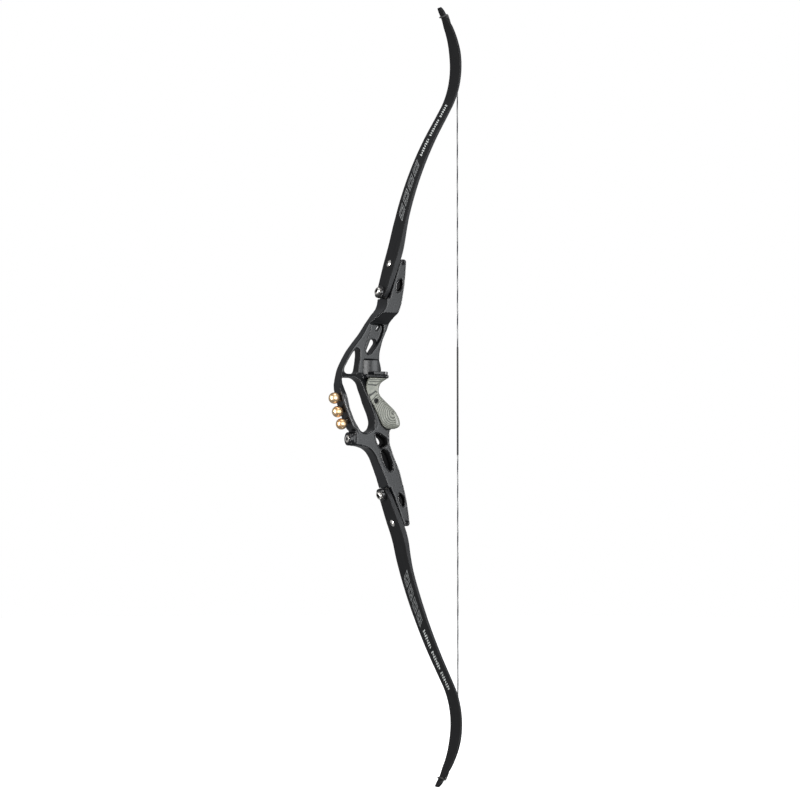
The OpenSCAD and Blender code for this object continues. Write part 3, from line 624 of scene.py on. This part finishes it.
# Places with a rougher finish and a darker colour, which is painted shade: the hollow under each
# seat, by its place along and out of the seat, and the two recesses of the lower end, the second
# one with slanted ends
HOLLOW_S, HOLLOW_N, HOLLOW_HALF, HOLLOW_Y = (7, 35), -12.8, 6.4, 19.2
RECESS_X, RECESS_Y, RECESS_Z = (-13.4, 13.8), 13.2, (-106, -78)
SLANT_Y, SLANT_Z = 13.4, (-149, -107.6)
SLANT_FRONT, FRONT_RISE, FRONT_FROM = -4, 0.39, -118
SLANT_BACK, BACK_RISE, BACK_LIMIT = 17, 0.45, 25


def edge_radius(p):
    """How far a side edge of the riser is rounded at a point in millimetres."""
    if abs(p.z) < SEATS_FROM:
        return SIDE_ROUND if abs(p.y) > THIN_HALF else THIN_ROUND
    point, _, out = seat_axes(side_at(p.z))
    return SEAT_ROUND if (p * MM - point).dot(out) > -SEAT_DEEP * MM else END_ROUND


def side_edges(node):
    """The outer edges of a solid's flat sides: for each side and each way that the wall below
    the edge faces, a tree of places and the edge points themselves."""
    obj = copy_of(node, "edges")
    bm = cleaned(obj)
    bpy.data.objects.remove(obj)
    found = {}
    for e in bm.edges:
        if len(e.link_faces) != 2 or not e.is_convex:
            continue
        if e.calc_face_angle(0) < math.radians(EDGE_SHARP):
            continue
        flat, wall = sorted((f.normal for f in e.link_faces), key=lambda n: -abs(n.y))
        if abs(flat.y) < FLAT_Y or abs(wall.y) > WALL_Y:
            continue
        a, b = (v.co / MM for v in e.verts)
        steps = max(1, int((b - a).length / EDGE_STEP))
        key = (flat.y > 0, wall.x > 0)
        found.setdefault(key, []).extend(a.lerp(b, k / steps) for k in range(steps + 1))
    bm.free()
    trees = {}
    for key, points in found.items():
        tree = KDTree(len(points))
        for k, q in enumerate(points):
            tree.insert((q.x, 0, q.z), k)
        tree.balance()
        trees[key] = (tree, points)
    return trees


def faded(x, low, high, soft):
    """1 between low and high, falling to 0 over the soft length outside them."""
    return max(0.0, min(1.0, (x - low) / soft + 1, (high - x) / soft + 1))


def groove_depth(p, front, back):
    """Depth of the grooves at a point of the near side. front and back are how far it is from
    the nearest edges whose walls face the front and the back."""
    if abs(-p.y - GROOVE_SIDE) >= GROOVE_SLACK or not GROOVE_Z[0] < p.z < GROOVE_Z[1]:
        return 0.0
    if p.x < BAR_BACK:
        across = front / max(front + back, 1e-6)
        return look(across, *BAR_GROOVE) * faded(p.z, *BAR_FADE)
    if p.x < COLUMN_BACK:
        groove = max(0.0, 1 - abs(front - GROOVE_AT) / GROOVE_HALF)
        return GROOVE_DEEP * groove * faded(p.z, *COLUMN_FADE)
    return 0.0


def sculpted(obj, trees):
    """Rounds the riser's side edges and cuts the grooves beside its hand opening, by moving the
    points of a fine mesh inwards."""
    # Read first, because the normals change with the points
    places = [(v.co / MM, abs(v.normal.y) > SIDE_Y) for v in obj.data.vertices]
    for v, (p, on_side) in zip(obj.data.vertices, places):
        far_side = p.y > 0
        sign = 1 if far_side else -1
        high = p.y * sign
        gap, fall, level = {}, 0.0, math.inf
        for right in (False, True):
            tree, points = trees[(far_side, right)]
            _, k, d = tree.find((p.x, 0, p.z))
            gap[right] = d
            edge_high = points[k].y * sign
            r = edge_radius(points[k])
            if d >= r or high > edge_high + EDGE_OVER + d:
                continue
            here = r - math.sqrt(max(r * r - (r - d) ** 2, 0))
            if not on_side:
                level = min(level, edge_high - here)
            elif high > edge_high - EDGE_UNDER - d:
                fall = max(fall, here)
        if on_side and not far_side:
            fall = max(fall, groove_depth(p, gap[False], gap[True]))
        v.co.y = min(high - fall, level) * sign * MM


def in_pocket(c):
    """True inside the lens-shaped hollows and the lower recesses, which get a rougher finish and a
    darker colour that is painted shade.
    """
    p = c / MM
    if abs(p.z) > SEATS_FROM:
        point, along, out = seat_axes(side_at(p.z))
        s, n = (c - point).dot(along) / MM, (c - point).dot(out) / MM
        return (HOLLOW_S[0] < s < HOLLOW_S[1] and abs(n - HOLLOW_N) < HOLLOW_HALF
                and abs(p.y) < HOLLOW_Y)
    if RECESS_Z[0] < p.z < RECESS_Z[1]:
        return RECESS_X[0] < p.x < RECESS_X[1] and abs(p.y) < RECESS_Y
    front = max(SLANT_FRONT, (FRONT_FROM - p.z) * FRONT_RISE + SLANT_FRONT)
    back = min(BACK_LIMIT, SLANT_BACK + (SLANT_Z[1] - p.z) * BACK_RISE)
    return SLANT_Z[0] < p.z < SLANT_Z[1] and front < p.x < back and abs(p.y) < SLANT_Y


def build_riser():
    """The riser with its rounded edges and grooves, the arrow shelf and the grip."""
    trees = side_edges("riser")
    riser = copy_of("riser", "riser_casting")
    remeshed(riser, RISER_VOXEL)
    sculpted(riser, trees)
    smoothed(riser, RISER_SMOOTHING)
    finish_piece(riser, RISER, "riser_metal", "handle", "riser")
    # Faces in the hollows and recesses take the darker material: painted shade
    riser.data.materials.append(POCKET_SHADE)
    for face in riser.data.polygons:
        if in_pocket(face.center):
            face.material_index = 1
    for node, name, voxel, rounds, material, slot in (
            ("arrow_shelf", "arrow_shelf_plate", 0.45, 5, SHELF, "shelf_metal"),
            ("grip", "grip_wood", 0.6, 10, GRIP, "grip_laminate")):
        piece = copy_of(node, name)
        remeshed(piece, voxel)
        smoothed(piece, rounds)
        finish_piece(piece, material, slot, "handle", node)


# Hardware. Sizes that end in _R are radii, and heights are along a piece's own axis.

# Limb bolt: a barrel whose rim has a shallow groove, with a lock screw sunk in its top
BARREL_R, SHANK_R, BORE_R, SHANK_FOOT = 12.0, 5.8, 3.05, -13
BARREL_LOW = SEAT_TOP - BUTT_TAPER / 2 * (1 - BARREL_R / BUTT_RUN)
BARREL_TOP = BARREL_LOW + 6
BARREL_RIM = [(-0.4, 0), (0, 0.4), (0, 1.6), (-0.3, 1.9), (-0.3, 2.2), (0, 2.5)]
BARREL_ROUND, MOUTH_R, MOUTH_CHAMFER = 0.9, 7.6, (0.4, 0.35)
LOCK_R, LOCK_FOOT, LOCK_HEAD_R, LOCK_CHAMFER = 3, -21, 7.5, 0.4
LOCK_LOW = BARREL_TOP - 2
LOCK_WALL, LOCK_TOP, LOCK_ROUND = LOCK_LOW + 4.4, LOCK_LOW + 6.4, 1.5
LOCK_HEX = 8
# Domed screw, with its foot at -6.5 and its head from 0
DOME_SEAT, DOME_R, DOME_TALL, DOME_STEPS = 11.75, 6.5, 3.0, 12
SCREW_FOOT = [(0, -6.5), (2.6, -6.5), (2.95, -6.1), (2.95, 0)]
SCREW_HEX_R = 2.3
# Detent spring's coil
COIL_FOOT, COIL_LONG, COIL_R, WIRE_R = -1.0, 5.0, 1.8, 0.28
COIL_TURNS, COIL_STEPS, COIL_EDGE = 6, 20, 0.35
# Brass balls: the foot's x and z, lean in degrees and height of the pad under the ball
WEIGHT_FEET = {
    "top": (-81.6, -12, 13.6, 0.8),
    "middle": (-74.6, -34.9, 23, 1.4),
    "bottom": (-65.2, -56.1, 26, 2.9),
}
BALL_R, BALL_MID, BALL_STEPS, BALL_BORE = 10.5, 9.6, 32, 8
# Stabilizer bushing, with a thread inside whose innermost turn is at THREAD_FROM
BUSHING_AT = (-65.3, 0, -88.9)
THREAD_END = [(0, 18.2), (3.5, 18.0)]
BUSHING_WALL = [(4.3, 0), (6.55, 0), (6.95, 0.35), (6.95, 21.8), (6.6, 22.2), (0, 22.2)]
THREAD_TURNS, THREAD_PITCH, THREAD_CREST, THREAD_ROOT, THREAD_FROM = 17, 1.06, 3.47, 3.85, 17.6
# Grip screw, sunk in the grip's near side
GRIP_SCREW_AT, GRIP_HALF, GRIP_SINK = (-11, 0, -18.4), 13.5, 2
GRIP_SHANK_R, GRIP_SHANK_FOOT = 2.35, [(0, -8), (2.1, -8), (2.35, -7.7)]
GRIP_HEAD_R, GRIP_HEAD_TALL, GRIP_HEAD_ROUND = 4.75, 2.6, 0.5


def corner(r, h, c):
    """Rows of an outer corner at radius r and height h, rounded by c."""
    turns = [math.radians(a) for a in (0, 30, 60, 90)]
    return [(r - c + c * math.cos(t), h - c + c * math.sin(t)) for t in turns]


def build_bolt(side):
    """A limb bolt's black barrel and its lock screw."""
    origin, _, out = seat_axes(side)
    start = (BORE_R, SHANK_FOOT)
    shell = [start, (SHANK_R, SHANK_FOOT), (SHANK_R, BARREL_LOW)]
    shell += [(BARREL_R + wide, BARREL_LOW + high) for wide, high in BARREL_RIM]
    shell += corner(BARREL_R, BARREL_TOP, BARREL_ROUND)
    shell += [(MOUTH_R + MOUTH_CHAMFER[0], BARREL_TOP), (MOUTH_R, BARREL_TOP - MOUTH_CHAMFER[1]),
              (MOUTH_R, LOCK_LOW), (BORE_R, LOCK_LOW), start]
    barrel = lathe(f"{side}_bolt_barrel", shell, origin, out)
    weighted(barrel)
    finish_piece(barrel, STEEL_BLACK, "black_steel", f"{side}_bolt", f"{side}_limb_bolt")
    rows = [(0, LOCK_FOOT), (LOCK_R - LOCK_CHAMFER, LOCK_FOOT), (LOCK_R, LOCK_FOOT + LOCK_CHAMFER),
            (LOCK_R, LOCK_LOW), (LOCK_HEAD_R, LOCK_LOW), (LOCK_HEAD_R, LOCK_WALL)]
    rows += corner(LOCK_HEAD_R, LOCK_TOP, LOCK_ROUND) + [(0, LOCK_TOP)]
    lock = lathe(f"{side}_lock_bolt", rows, origin, out)
    hex_r = LOCK_HEX / 2 / math.cos(math.pi / 6)
    cut_hex(lock, hex_r, LOCK_LOW + 1, LOCK_LOW + 9, origin, out)
    weighted(lock)
    finish_piece(lock, STAINLESS, "stainless", f"{side}_lock", f"{side}_lock_screw")
    painted_socket_shade(lock, origin, out, 4.65, LOCK_TOP)


def build_dome(side):
    """The domed screw that holds a dovetail fitting in its limb."""
    origin, out = seat_point(side, DOVETAIL_S, DOME_SEAT), seat_axes(side)[2]
    ball = (DOME_R * DOME_R + DOME_TALL * DOME_TALL) / (2 * DOME_TALL)
    rows = SCREW_FOOT + [(DOME_R - 0.15, 0), (DOME_R, 0.1)]
    for k in range(1, DOME_STEPS):
        high = DOME_TALL * k / DOME_STEPS
        rows.append((math.sqrt(ball * ball - (high - DOME_TALL + ball) ** 2), high))
    rows.append((0, DOME_TALL))
    dome = lathe(f"{side}_dome_screw", rows, origin, out)
    cut_hex(dome, SCREW_HEX_R, DOME_TALL - 1.8, DOME_TALL + 3, origin, out)
    weighted(dome)
    finish_piece(dome, STAINLESS, "stainless", "handle", f"{side}_dovetail_screw")
    painted_socket_shade(dome, origin, out, 2.35, 2.7)


def build_fittings(side):
    """The dovetail fitting, its sprung pin and the bolt's insert."""
    for node, name, width, body in (
            ("dovetail", "dovetail_fitting", 0.35, "handle"),
            ("detent_pin", "detent_plunger", 0.15, f"{side}_detent"),
            ("bolt_insert", "bolt_bush", 0.3, "handle")):
        piece = dressed(f"{side}_{node}", f"{side}_{name}", width)
        finish_piece(piece, STAINLESS, "stainless", body, f"{side}_{node}")


def build_coil(side):
    """The spring of the detent pin."""
    _, u, out = seat_axes(side)
    v = Vector((0, 1, 0))
    foot = seat_point(side, DOVETAIL_S, COIL_FOOT)
    count = COIL_TURNS * COIL_STEPS
    path = []
    for k in range(count + 1):
        t = 2 * math.pi * k / COIL_STEPS
        high = COIL_EDGE + (COIL_LONG - 2 * COIL_EDGE) * k / count
        path.append(foot + (u * math.cos(t) + v * math.sin(t)) * COIL_R * MM + out * high * MM)
    coil = tube(f"{side}_detent_coil", path, WIRE_R, 8)
    finish_piece(coil, SPRING, "spring_steel", "handle", f"{side}_detent_spring")
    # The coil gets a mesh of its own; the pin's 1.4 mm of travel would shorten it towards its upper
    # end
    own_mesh(coil)


def build_weights():
    """The three brass balls on the bar's front, and their studs."""
    low = -math.asin(BALL_MID / BALL_R)
    rows = [(0, BALL_BORE), (BORE_R, BALL_BORE), (BORE_R, 0)]
    for k in range(BALL_STEPS):
        t = low + (math.pi / 2 - low) * k / BALL_STEPS
        rows.append((BALL_R * math.cos(t), BALL_MID + BALL_R * math.sin(t)))
    rows.append((0, BALL_MID + BALL_R))
    for name, (x, z, lean, pad) in WEIGHT_FEET.items():
        a = math.radians(lean)
        out = Vector((-math.cos(a), 0, -math.sin(a)))
        origin = Vector((x, 0, z)) * MM + out * pad * MM
        ball = lathe(f"{name}_ball", rows, origin, out)
        weighted(ball)
        finish_piece(ball, BRASS, "brass_ball", "handle", f"{name}_weight")
    studs = dressed("weight_studs", "ball_studs", 0.3)
    finish_piece(studs, STAINLESS, "stainless", "handle", "weight_studs")


def build_bushing():
    """The threaded bushing in the bar's boss."""
    origin, along = Vector(BUSHING_AT) * MM, Vector((1, 0, 0))
    thread = []
    for k in range(THREAD_TURNS):
        high = THREAD_FROM - k * THREAD_PITCH
        thread += [(THREAD_ROOT, high), (THREAD_CREST, high - THREAD_PITCH / 2)]
    bush = lathe("stabilizer_sleeve", THREAD_END + thread + BUSHING_WALL, origin, along)
    weighted(bush, 50)
    finish_piece(bush, STAINLESS, "stainless", "handle", "stabilizer_bushing")
    painted_socket_shade(bush, origin, -along, 3.9, -0.1)


def build_black_screws():
    """The grip's socket screw and the limbs' alignment screws."""
    origin, along = Vector(GRIP_SCREW_AT) * MM, Vector((0, -1, 0))
    low = GRIP_HALF - GRIP_SINK
    top = low + GRIP_HEAD_TALL
    rows = GRIP_SHANK_FOOT + [(GRIP_SHANK_R, low), (GRIP_HEAD_R, low)]
    rows += corner(GRIP_HEAD_R, top, GRIP_HEAD_ROUND) + [(0, top)]
    screw = lathe("grip_socket_screw", rows, origin, along)
    cut_hex(screw, SCREW_HEX_R, low + 0.8, low + 6, origin, along)
    weighted(screw)
    finish_piece(screw, SCREW_BLACK, "black_steel", "handle", "grip_screw")
    painted_socket_shade(screw, origin, along, 2.35, low + 2.5)
    pins = dressed("alignment_screws", "side_set_screws", 0.25)
    finish_piece(pins, SCREW_BLACK, "black_steel", "handle", "alignment_screws")


# Limbs and their print

# Stations that a limb bends between, and the step in millimetres between the cuts across it
BEND, BEND_STEP = (85, 430), 5
LIMB_LAYERS = (("core", CORE, "limb_core"), ("back", GLASS, "limb_glass"),
               ("belly", GLASS, "limb_glass"))
LAYER_ROUND, LAYER_SLACK, TIP_ROUND = 0.75, 0.55, 0.4
# How far a print stands off the limb's front, and how thick it is
PRINT_OFF, PRINT_THICK = 0.02, 0.05
# Heights that the prints run between, from the row's middle
PRINT_FRAMES = {"upper": (326, 438), "lower": (338, 436)}
PRINT_DASHES = {"upper": (446, 552), "lower": (444, 564)}
FRAME_COUNT, FRAME_PART, FRAME_INNER = 4, 0.8, 4.6
FRAME_HALF, FRAME_LINE, FRAME_SLANT = 9.5, 1.7, 8.0
# Each third dash is short, and each ninth is left out
DASH_HALF, DASH_LONG, DASH_PITCH, DASH_SLANT, DASH_SHORT = 5.0, 2.7, 4.9, 2, 0.7


def on_outer_face(side, e):
    """True for an edge on the outer face of a limb's glass layer."""
    mid = (e.verts[0].co + e.verts[1].co) / 2 / MM
    high = UP[side] * mid.z
    near = min(zip(*LINES[side]), key=lambda row: (row[1] - mid.x) ** 2 + (row[2] - high) ** 2)
    s, x, z, lean = near
    a = math.radians(lean)
    n = -(mid.x - x) * math.cos(a) + (high - z) * math.sin(a)
    return abs(n) > half_t(s) - LAYER_SLACK


def cut_across(obj, side):
    """Cuts a layer across every few millimetres of the bend, so that it bends as its print does."""
    bm = bmesh.new()
    bm.from_mesh(obj.data)
    for s in range(BEND[0], BEND[1] + 1, BEND_STEP):
        here = on_limb(side, s, 0, 0)
        along = on_limb(side, s + 1, 0, 0) - on_limb(side, s - 1, 0, 0)
        bmesh.ops.bisect_plane(bm, geom=bm.verts[:] + bm.edges[:] + bm.faces[:], dist=1e-6,
                               plane_co=here, plane_no=along.normalized())
    bm.to_mesh(obj.data)
    bm.free()


def build_limb(side):
    """A limb's three layers, which bend, and its tip overlay."""
    for layer, material, slot in LIMB_LAYERS:
        # Only the glass layers have edges that show
        piece = dressed(f"{side}_limb_{layer}", f"{side}_limb_{layer}_layer", LAYER_ROUND,
                        lambda e, glass=layer != "core": glass and on_outer_face(side, e),
                        segments=3, angle=35)
        finish_piece(piece, material, slot, None, f"{side}_limb_{layer}")
        cut_across(piece, side)
        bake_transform(piece)
    tip = dressed(f"{side}_tip_overlay", f"{side}_tip_wedge", TIP_ROUND, angle=35)
    finish_piece(tip, OVERLAY, "tip_overlay", f"{side}_limb", f"{side}_tip_overlay")


def printed(side, corners, steps=6):
    """A thin printed patch on a limb's front, between four (s, y) corners in order."""
    bm = bmesh.new()
    rings = []
    for k in range(steps + 1):
        f = k / steps
        row = []
        for high in (PRINT_OFF, PRINT_OFF + PRINT_THICK):
            for a, b in ((corners[0], corners[1]), (corners[3], corners[2])):
                s, y = a[0] + (b[0] - a[0]) * f, a[1] + (b[1] - a[1]) * f
                row.append(bm.verts.new(on_limb(side, s, y, half_t(s) + high)))
        rings.append((row[0], row[1], row[3], row[2]))
    bridge(bm, rings)
    bm.faces.new(rings[0][::-1])
    bm.faces.new(rings[-1])
    bmesh.ops.recalc_face_normals(bm, faces=bm.faces)
    return new_object("print", bm, smooth=False)


def slanted_frame(side, s0, s1, inner):
    """The four lines of a slanted frame between two stations, or of one inside it."""
    a, b, y, w = s0 + inner, s1 - inner, FRAME_HALF - inner, FRAME_LINE
    tilt = FRAME_SLANT * y / FRAME_HALF
    lines = (((a - tilt, -y), (a + tilt, y), (a + tilt + w, y), (a - tilt + w, -y)),
             ((b - tilt - w, -y), (b + tilt - w, y), (b + tilt, y), (b - tilt, -y)),
             ((a - tilt, -y), (b - tilt, -y), (b - tilt, w - y), (a - tilt, w - y)),
             ((a + tilt, y - w), (b + tilt, y - w), (b + tilt, y), (a + tilt, y)))
    return [coloured(printed(side, line), MARK_GREY) for line in lines]


def build_print(side):
    """Plain decoration on a limb's front: slanted frames, then a row of slanted dashes."""
    parts = []
    low, high = (s_at(side, z) for z in PRINT_FRAMES[side])
    pitch = (high - low) / FRAME_COUNT
    for k in range(FRAME_COUNT):
        for inner in (0.0, FRAME_INNER):
            parts += slanted_frame(side, low + pitch * k, low + pitch * (k + FRAME_PART), inner)
    low, high = (s_at(side, z) for z in PRINT_DASHES[side])
    for k in range(int((high - low) / DASH_PITCH)):
        if k % 9 == 8:
            continue
        y = DASH_HALF * (DASH_SHORT if k % 3 == 1 else 1)
        a = low + k * DASH_PITCH - DASH_SLANT
        b = low + k * DASH_PITCH + DASH_SLANT
        dash = printed(side, ((a, -y), (b, y), (b + DASH_LONG, y), (a + DASH_LONG, -y)), 3)
        parts.append(coloured(dash, MARK_PALE))
    obj = joined(f"{side}_limb_print", parts)
    obj.data.shade_flat()
    finish_piece(obj, None, "limb_glass")
    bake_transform(obj)


# String

STRING_X, NOCK_Z = 173.915, 40.0
# Where each straight half touches its limb, where its serving ends, and the gap left at the limb
TOUCH_Z = {"upper": 624.36, "lower": -623.376}
SERVING_Z = {"upper": 88.0, "lower": -117.0}
TOUCH_GAP = 0.1
# Six yarns round a filling, the first three of them light
YARNS, LIGHT_YARNS, YARN_SIDES = 6, 3, 8
YARN_R, YARN_OFF, YARN_PITCH, YARN_STEP, FILLING_R = 0.46, 0.83, 46.0, 1.6, 0.6
SERVED_R, SERVED_END_R, SERVED_SIDES = 1.8, 1.62, 14
SERVED_PITCH, SERVED_DEPTH, SERVED_STEPS = 0.75, 0.14, 5
# The length on the limb, then the loop: its first points by station and side, and its last ones
# in front of the nock by side and by how far they are short of its full height
BELLY_GAP, BELLY_POINTS = 1.4, 10
LOOP_GAP, LOOP_R, LOOP_PITCH, LOOP_DEPTH = 1.7, 1.58, 0.9, 0.16
LOOP_FROM, LOOP_FROM_GAP = 543, 1.45
LOOP_BRANCH = [(546.5, 1.2), (550, 3.28), (555, 5.74), (561, 7.13), (566, 7.87),
               (569.6, NOCK_SIDE)]
LOOP_FRONT = [(NOCK_SIDE, 1.2), (7.4, 0.2), (5.6, 0)]
BAND_AT, BAND_GAP, BAND_R, BAND_DEPTH = (532, 536, 540, 544, 547), 1.5, 1.66, 0.14


def straight_line(end, count):
    """Points of the string's own line from the nocking point to a height."""
    return [Vector((STRING_X, 0, NOCK_Z + (end - NOCK_Z) * i / count)) * MM
            for i in range(count + 1)]


def straight_yarn(end, k):
    """Points of a twisted yarn from the nocking point to a height."""
    count = int(abs(end - NOCK_Z) / YARN_STEP)
    points = []
    for i in range(count + 1):
        z = NOCK_Z + (end - NOCK_Z) * i / count
        t = 2 * math.pi * (z / YARN_PITCH + k / YARNS)
        x, y = STRING_X + YARN_OFF * math.cos(t), YARN_OFF * math.sin(t)
        points.append(Vector((x, y, z)) * MM)
    return points


def yarn_along(path, k):
    """Points of a twisted yarn along a path that bends in the bow's plane."""
    u = Vector((0, 1, 0))
    points = []
    for p, d, far in zip(path, directions(path), lengths(path)):
        v = d.cross(u).normalized()
        t = 2 * math.pi * (far / YARN_PITCH + k / YARNS)
        points.append(p + (u * math.cos(t) + v * math.sin(t)) * YARN_OFF * MM)
    return points


def twisted(yarns, line):
    """Tubes for the yarns of a length of string, and for the filling on its line."""
    tubes = []
    for k, points in enumerate(yarns):
        yarn = tube("strand", points, YARN_R, YARN_SIDES)
        tubes.append(coloured(yarn, STRING_LIGHT if k < LIGHT_YARNS else STRING_DARK))
    filling = tube("strand", line, FILLING_R, YARN_SIDES)
    return tubes + [coloured(filling, STRING_DARK)]


def build_string(side):
    """The straight half of the string on one side of the nocking point, and its serving."""
    end = TOUCH_Z[side] - math.copysign(TOUCH_GAP, TOUCH_Z[side])
    yarns = [straight_yarn(end, k) for k in range(YARNS)]
    obj = joined(f"{side}_bowstring", twisted(yarns, straight_line(end, 40)))
    finish_piece(obj, None, "string_fibre", f"{side}_string_half", f"{side}_string")
    end = SERVING_Z[side]
    points = straight_line(end, int(abs(end - NOCK_Z) / SERVED_PITCH * SERVED_STEPS))
    wrap = tube(f"{side}_serving_wrap", points, SERVED_R, SERVED_SIDES, SERVED_END_R,
                SERVED_PITCH, SERVED_DEPTH)
    finish_piece(wrap, SERVING, "serving_thread", f"{side}_string_half", f"{side}_serving")


def behind(side, s, gap):
    """Point behind a limb's belly, in the bow's plane."""
    return on_limb(side, s, 0, -gap - half_t(s))


def loop_path(side):
    """The loop's line: off the limb's belly, round one side of the nock to the limb's front, and
    back by the other side."""
    off = half_t(NOCK_S) + LOOP_GAP
    half = [(s, y, -off) for s, y in LOOP_BRANCH]
    half += [(NOCK_S, NOCK_SIDE, -off + 1.4), (NOCK_S, NOCK_SIDE, 0)]
    half += [(NOCK_S, y, off - short) for y, short in LOOP_FRONT]
    ends = [behind(side, LOOP_FROM, LOOP_FROM_GAP)]
    there = [on_limb(side, *p) for p in half]
    back = [on_limb(side, s, -y, n) for s, y, n in reversed(half)]
    return smooth_path(ends + there + back + ends, 10)


def build_string_end(side):
    """The length of string that lies on a limb, its loop round the nock and their servings."""
    s0, s1 = touch_s(side), STOPS[5]
    stations = [s0 + i * (s1 - s0) / (BELLY_POINTS - 1) for i in range(BELLY_POINTS)]
    line = smooth_path([behind(side, s, BELLY_GAP) for s in stations], 8)
    pieces = twisted([yarn_along(line, k) for k in range(YARNS)], line)
    band = smooth_path([behind(side, s, BAND_GAP) for s in BAND_AT], 10)
    for path, radius, sides, depth in ((loop_path(side), LOOP_R, 12, LOOP_DEPTH),
                                       (band, BAND_R, 14, BAND_DEPTH)):
        served = tube("served", path, radius, sides, pitch=LOOP_PITCH, depth=depth)
        pieces.append(coloured(served, SERVING))
    obj = joined(f"{side}_string_loop", pieces)
    finish_piece(obj, None, "string_fibre", f"{side}_limb", f"{side}_string_end")


# Stage, light and camera, in metres

FLOOR_R = 6.0
# Name, place, target, width, height, watts and colour
LIGHTS = (
    ("key", (1.25, -3.6, 0.2), (0.02, 0, 0), 1.3, 2.6, 58, (0.95, 0.98, 1.0)),
    ("fill", (-0.9, -3.6, 0.2), (0, 0, 0), 0.8, 2.8, 75, (1, 1, 1)),
    ("side", (-3.4, -0.45, 0.1), (0, 0, 0), 0.7, 2.8, 150, (1, 1, 1)),
    ("rear", (3.4, -1.0, 0.2), (0, 0, 0), 0.45, 1.6, 60, (1, 1, 1)),
    ("top", (0.2, -0.9, 3.0), (0, 0, 0.2), 1.4, 1.4, 34, (1, 1, 1)),
    ("low", (0.5, -0.75, -3.0), (0, 0, 0), 0.5, 0.5, 24, (1, 1, 1)),
)
# The photo's view in degrees, and a long lens from well away, which keeps the tips in proportion
CAMERA_TARGET, CAMERA_FAR = (0.0478, 0, -0.015), 4.2
CAMERA_AZIMUTH, CAMERA_ELEVATION = -30, -2.4
CAMERA_LENS, CAMERA_SENSOR = 101.2, 36


def aimed(obj, direction):
    """Turns a light or the camera to a direction."""
    obj.rotation_mode = "QUATERNION"
    obj.rotation_quaternion = direction.to_track_quat("-Z", "Y")


def build_floor():
    """A pale floor under the lower tip, which lends the bow no colour and no reflection."""
    bm = bmesh.new()
    bmesh.ops.create_circle(bm, cap_ends=True, segments=96, radius=FLOOR_R)
    floor = new_object("floor", bm, smooth=False)
    floor.location.z = cad_box[0].z
    m = Maker("floor_pale")
    m.set(Base_Color=m.ramp(m.noise(3.0), (0.3, grey(0.80)), (0.7, grey(0.84))), Roughness=0.9,
          Specular_IOR_Level=0.1, Emission_Color=(1, 1, 1, 1), Emission_Strength=0.95)
    floor.data.materials.append(m.mat)
    floor.visible_diffuse = False
    floor.visible_glossy = False


def build_world():
    """A white backdrop for the camera, and a dimmer, cooler one as light."""
    world = bpy.data.worlds.new("studio")
    bpy.context.scene.world = world
    world.use_nodes = True
    nodes, links = world.node_tree.nodes, world.node_tree.links
    back = nodes["Background"]
    rays = nodes.new("ShaderNodeLightPath")
    seen = nodes.new("ShaderNodeBackground")
    mix = nodes.new("ShaderNodeMixShader")
    for node, colour, strength in ((back, (0.95, 0.97, 1.0, 1), 0.24), (seen, (1, 1, 1, 1), 1.0)):
        node.inputs["Color"].default_value = colour
        node.inputs["Strength"].default_value = strength
    links.new(rays.outputs["Is Camera Ray"], mix.inputs["Fac"])
    links.new(back.outputs["Background"], mix.inputs[1])
    links.new(seen.outputs["Background"], mix.inputs[2])
    links.new(mix.outputs["Shader"], nodes["World Output"].inputs["Surface"])


def build_lights():
    for name, place, target, wide, high, watts, colour in LIGHTS:
        data = bpy.data.lights.new(name, "AREA")
        data.shape = "RECTANGLE"
        data.size, data.size_y = wide, high
        data.energy, data.color = watts, colour
        light = linked(name, data)
        light.location = place
        aimed(light, Vector(target) - Vector(place))


def build_camera():
    data = bpy.data.cameras.new("camera")
    data.sensor_width, data.lens = CAMERA_SENSOR, CAMERA_LENS
    data.clip_start, data.clip_end = 0.05, 60
    cam = linked("camera", data)
    az, el = math.radians(CAMERA_AZIMUTH), math.radians(CAMERA_ELEVATION)
    back = Vector((math.sin(az) * math.cos(el), -math.cos(az) * math.cos(el), math.sin(el)))
    cam.location = Vector(CAMERA_TARGET) + back * CAMERA_FAR
    aimed(cam, -back)
    bpy.context.scene.camera = cam


build_riser()
build_weights()
build_bushing()
build_black_screws()
for side in SEATS:
    build_bolt(side)
    build_dome(side)
    build_fittings(side)
    build_coil(side)
    build_limb(side)
    build_print(side)
    build_string(side)
    build_string_end(side)
build_floor()
build_world()
build_lights()
build_camera()
view = bpy.context.scene.view_settings
view.view_transform = "Standard"
view.look = "None"
view.exposure = 0.0
view.gamma = 1.0
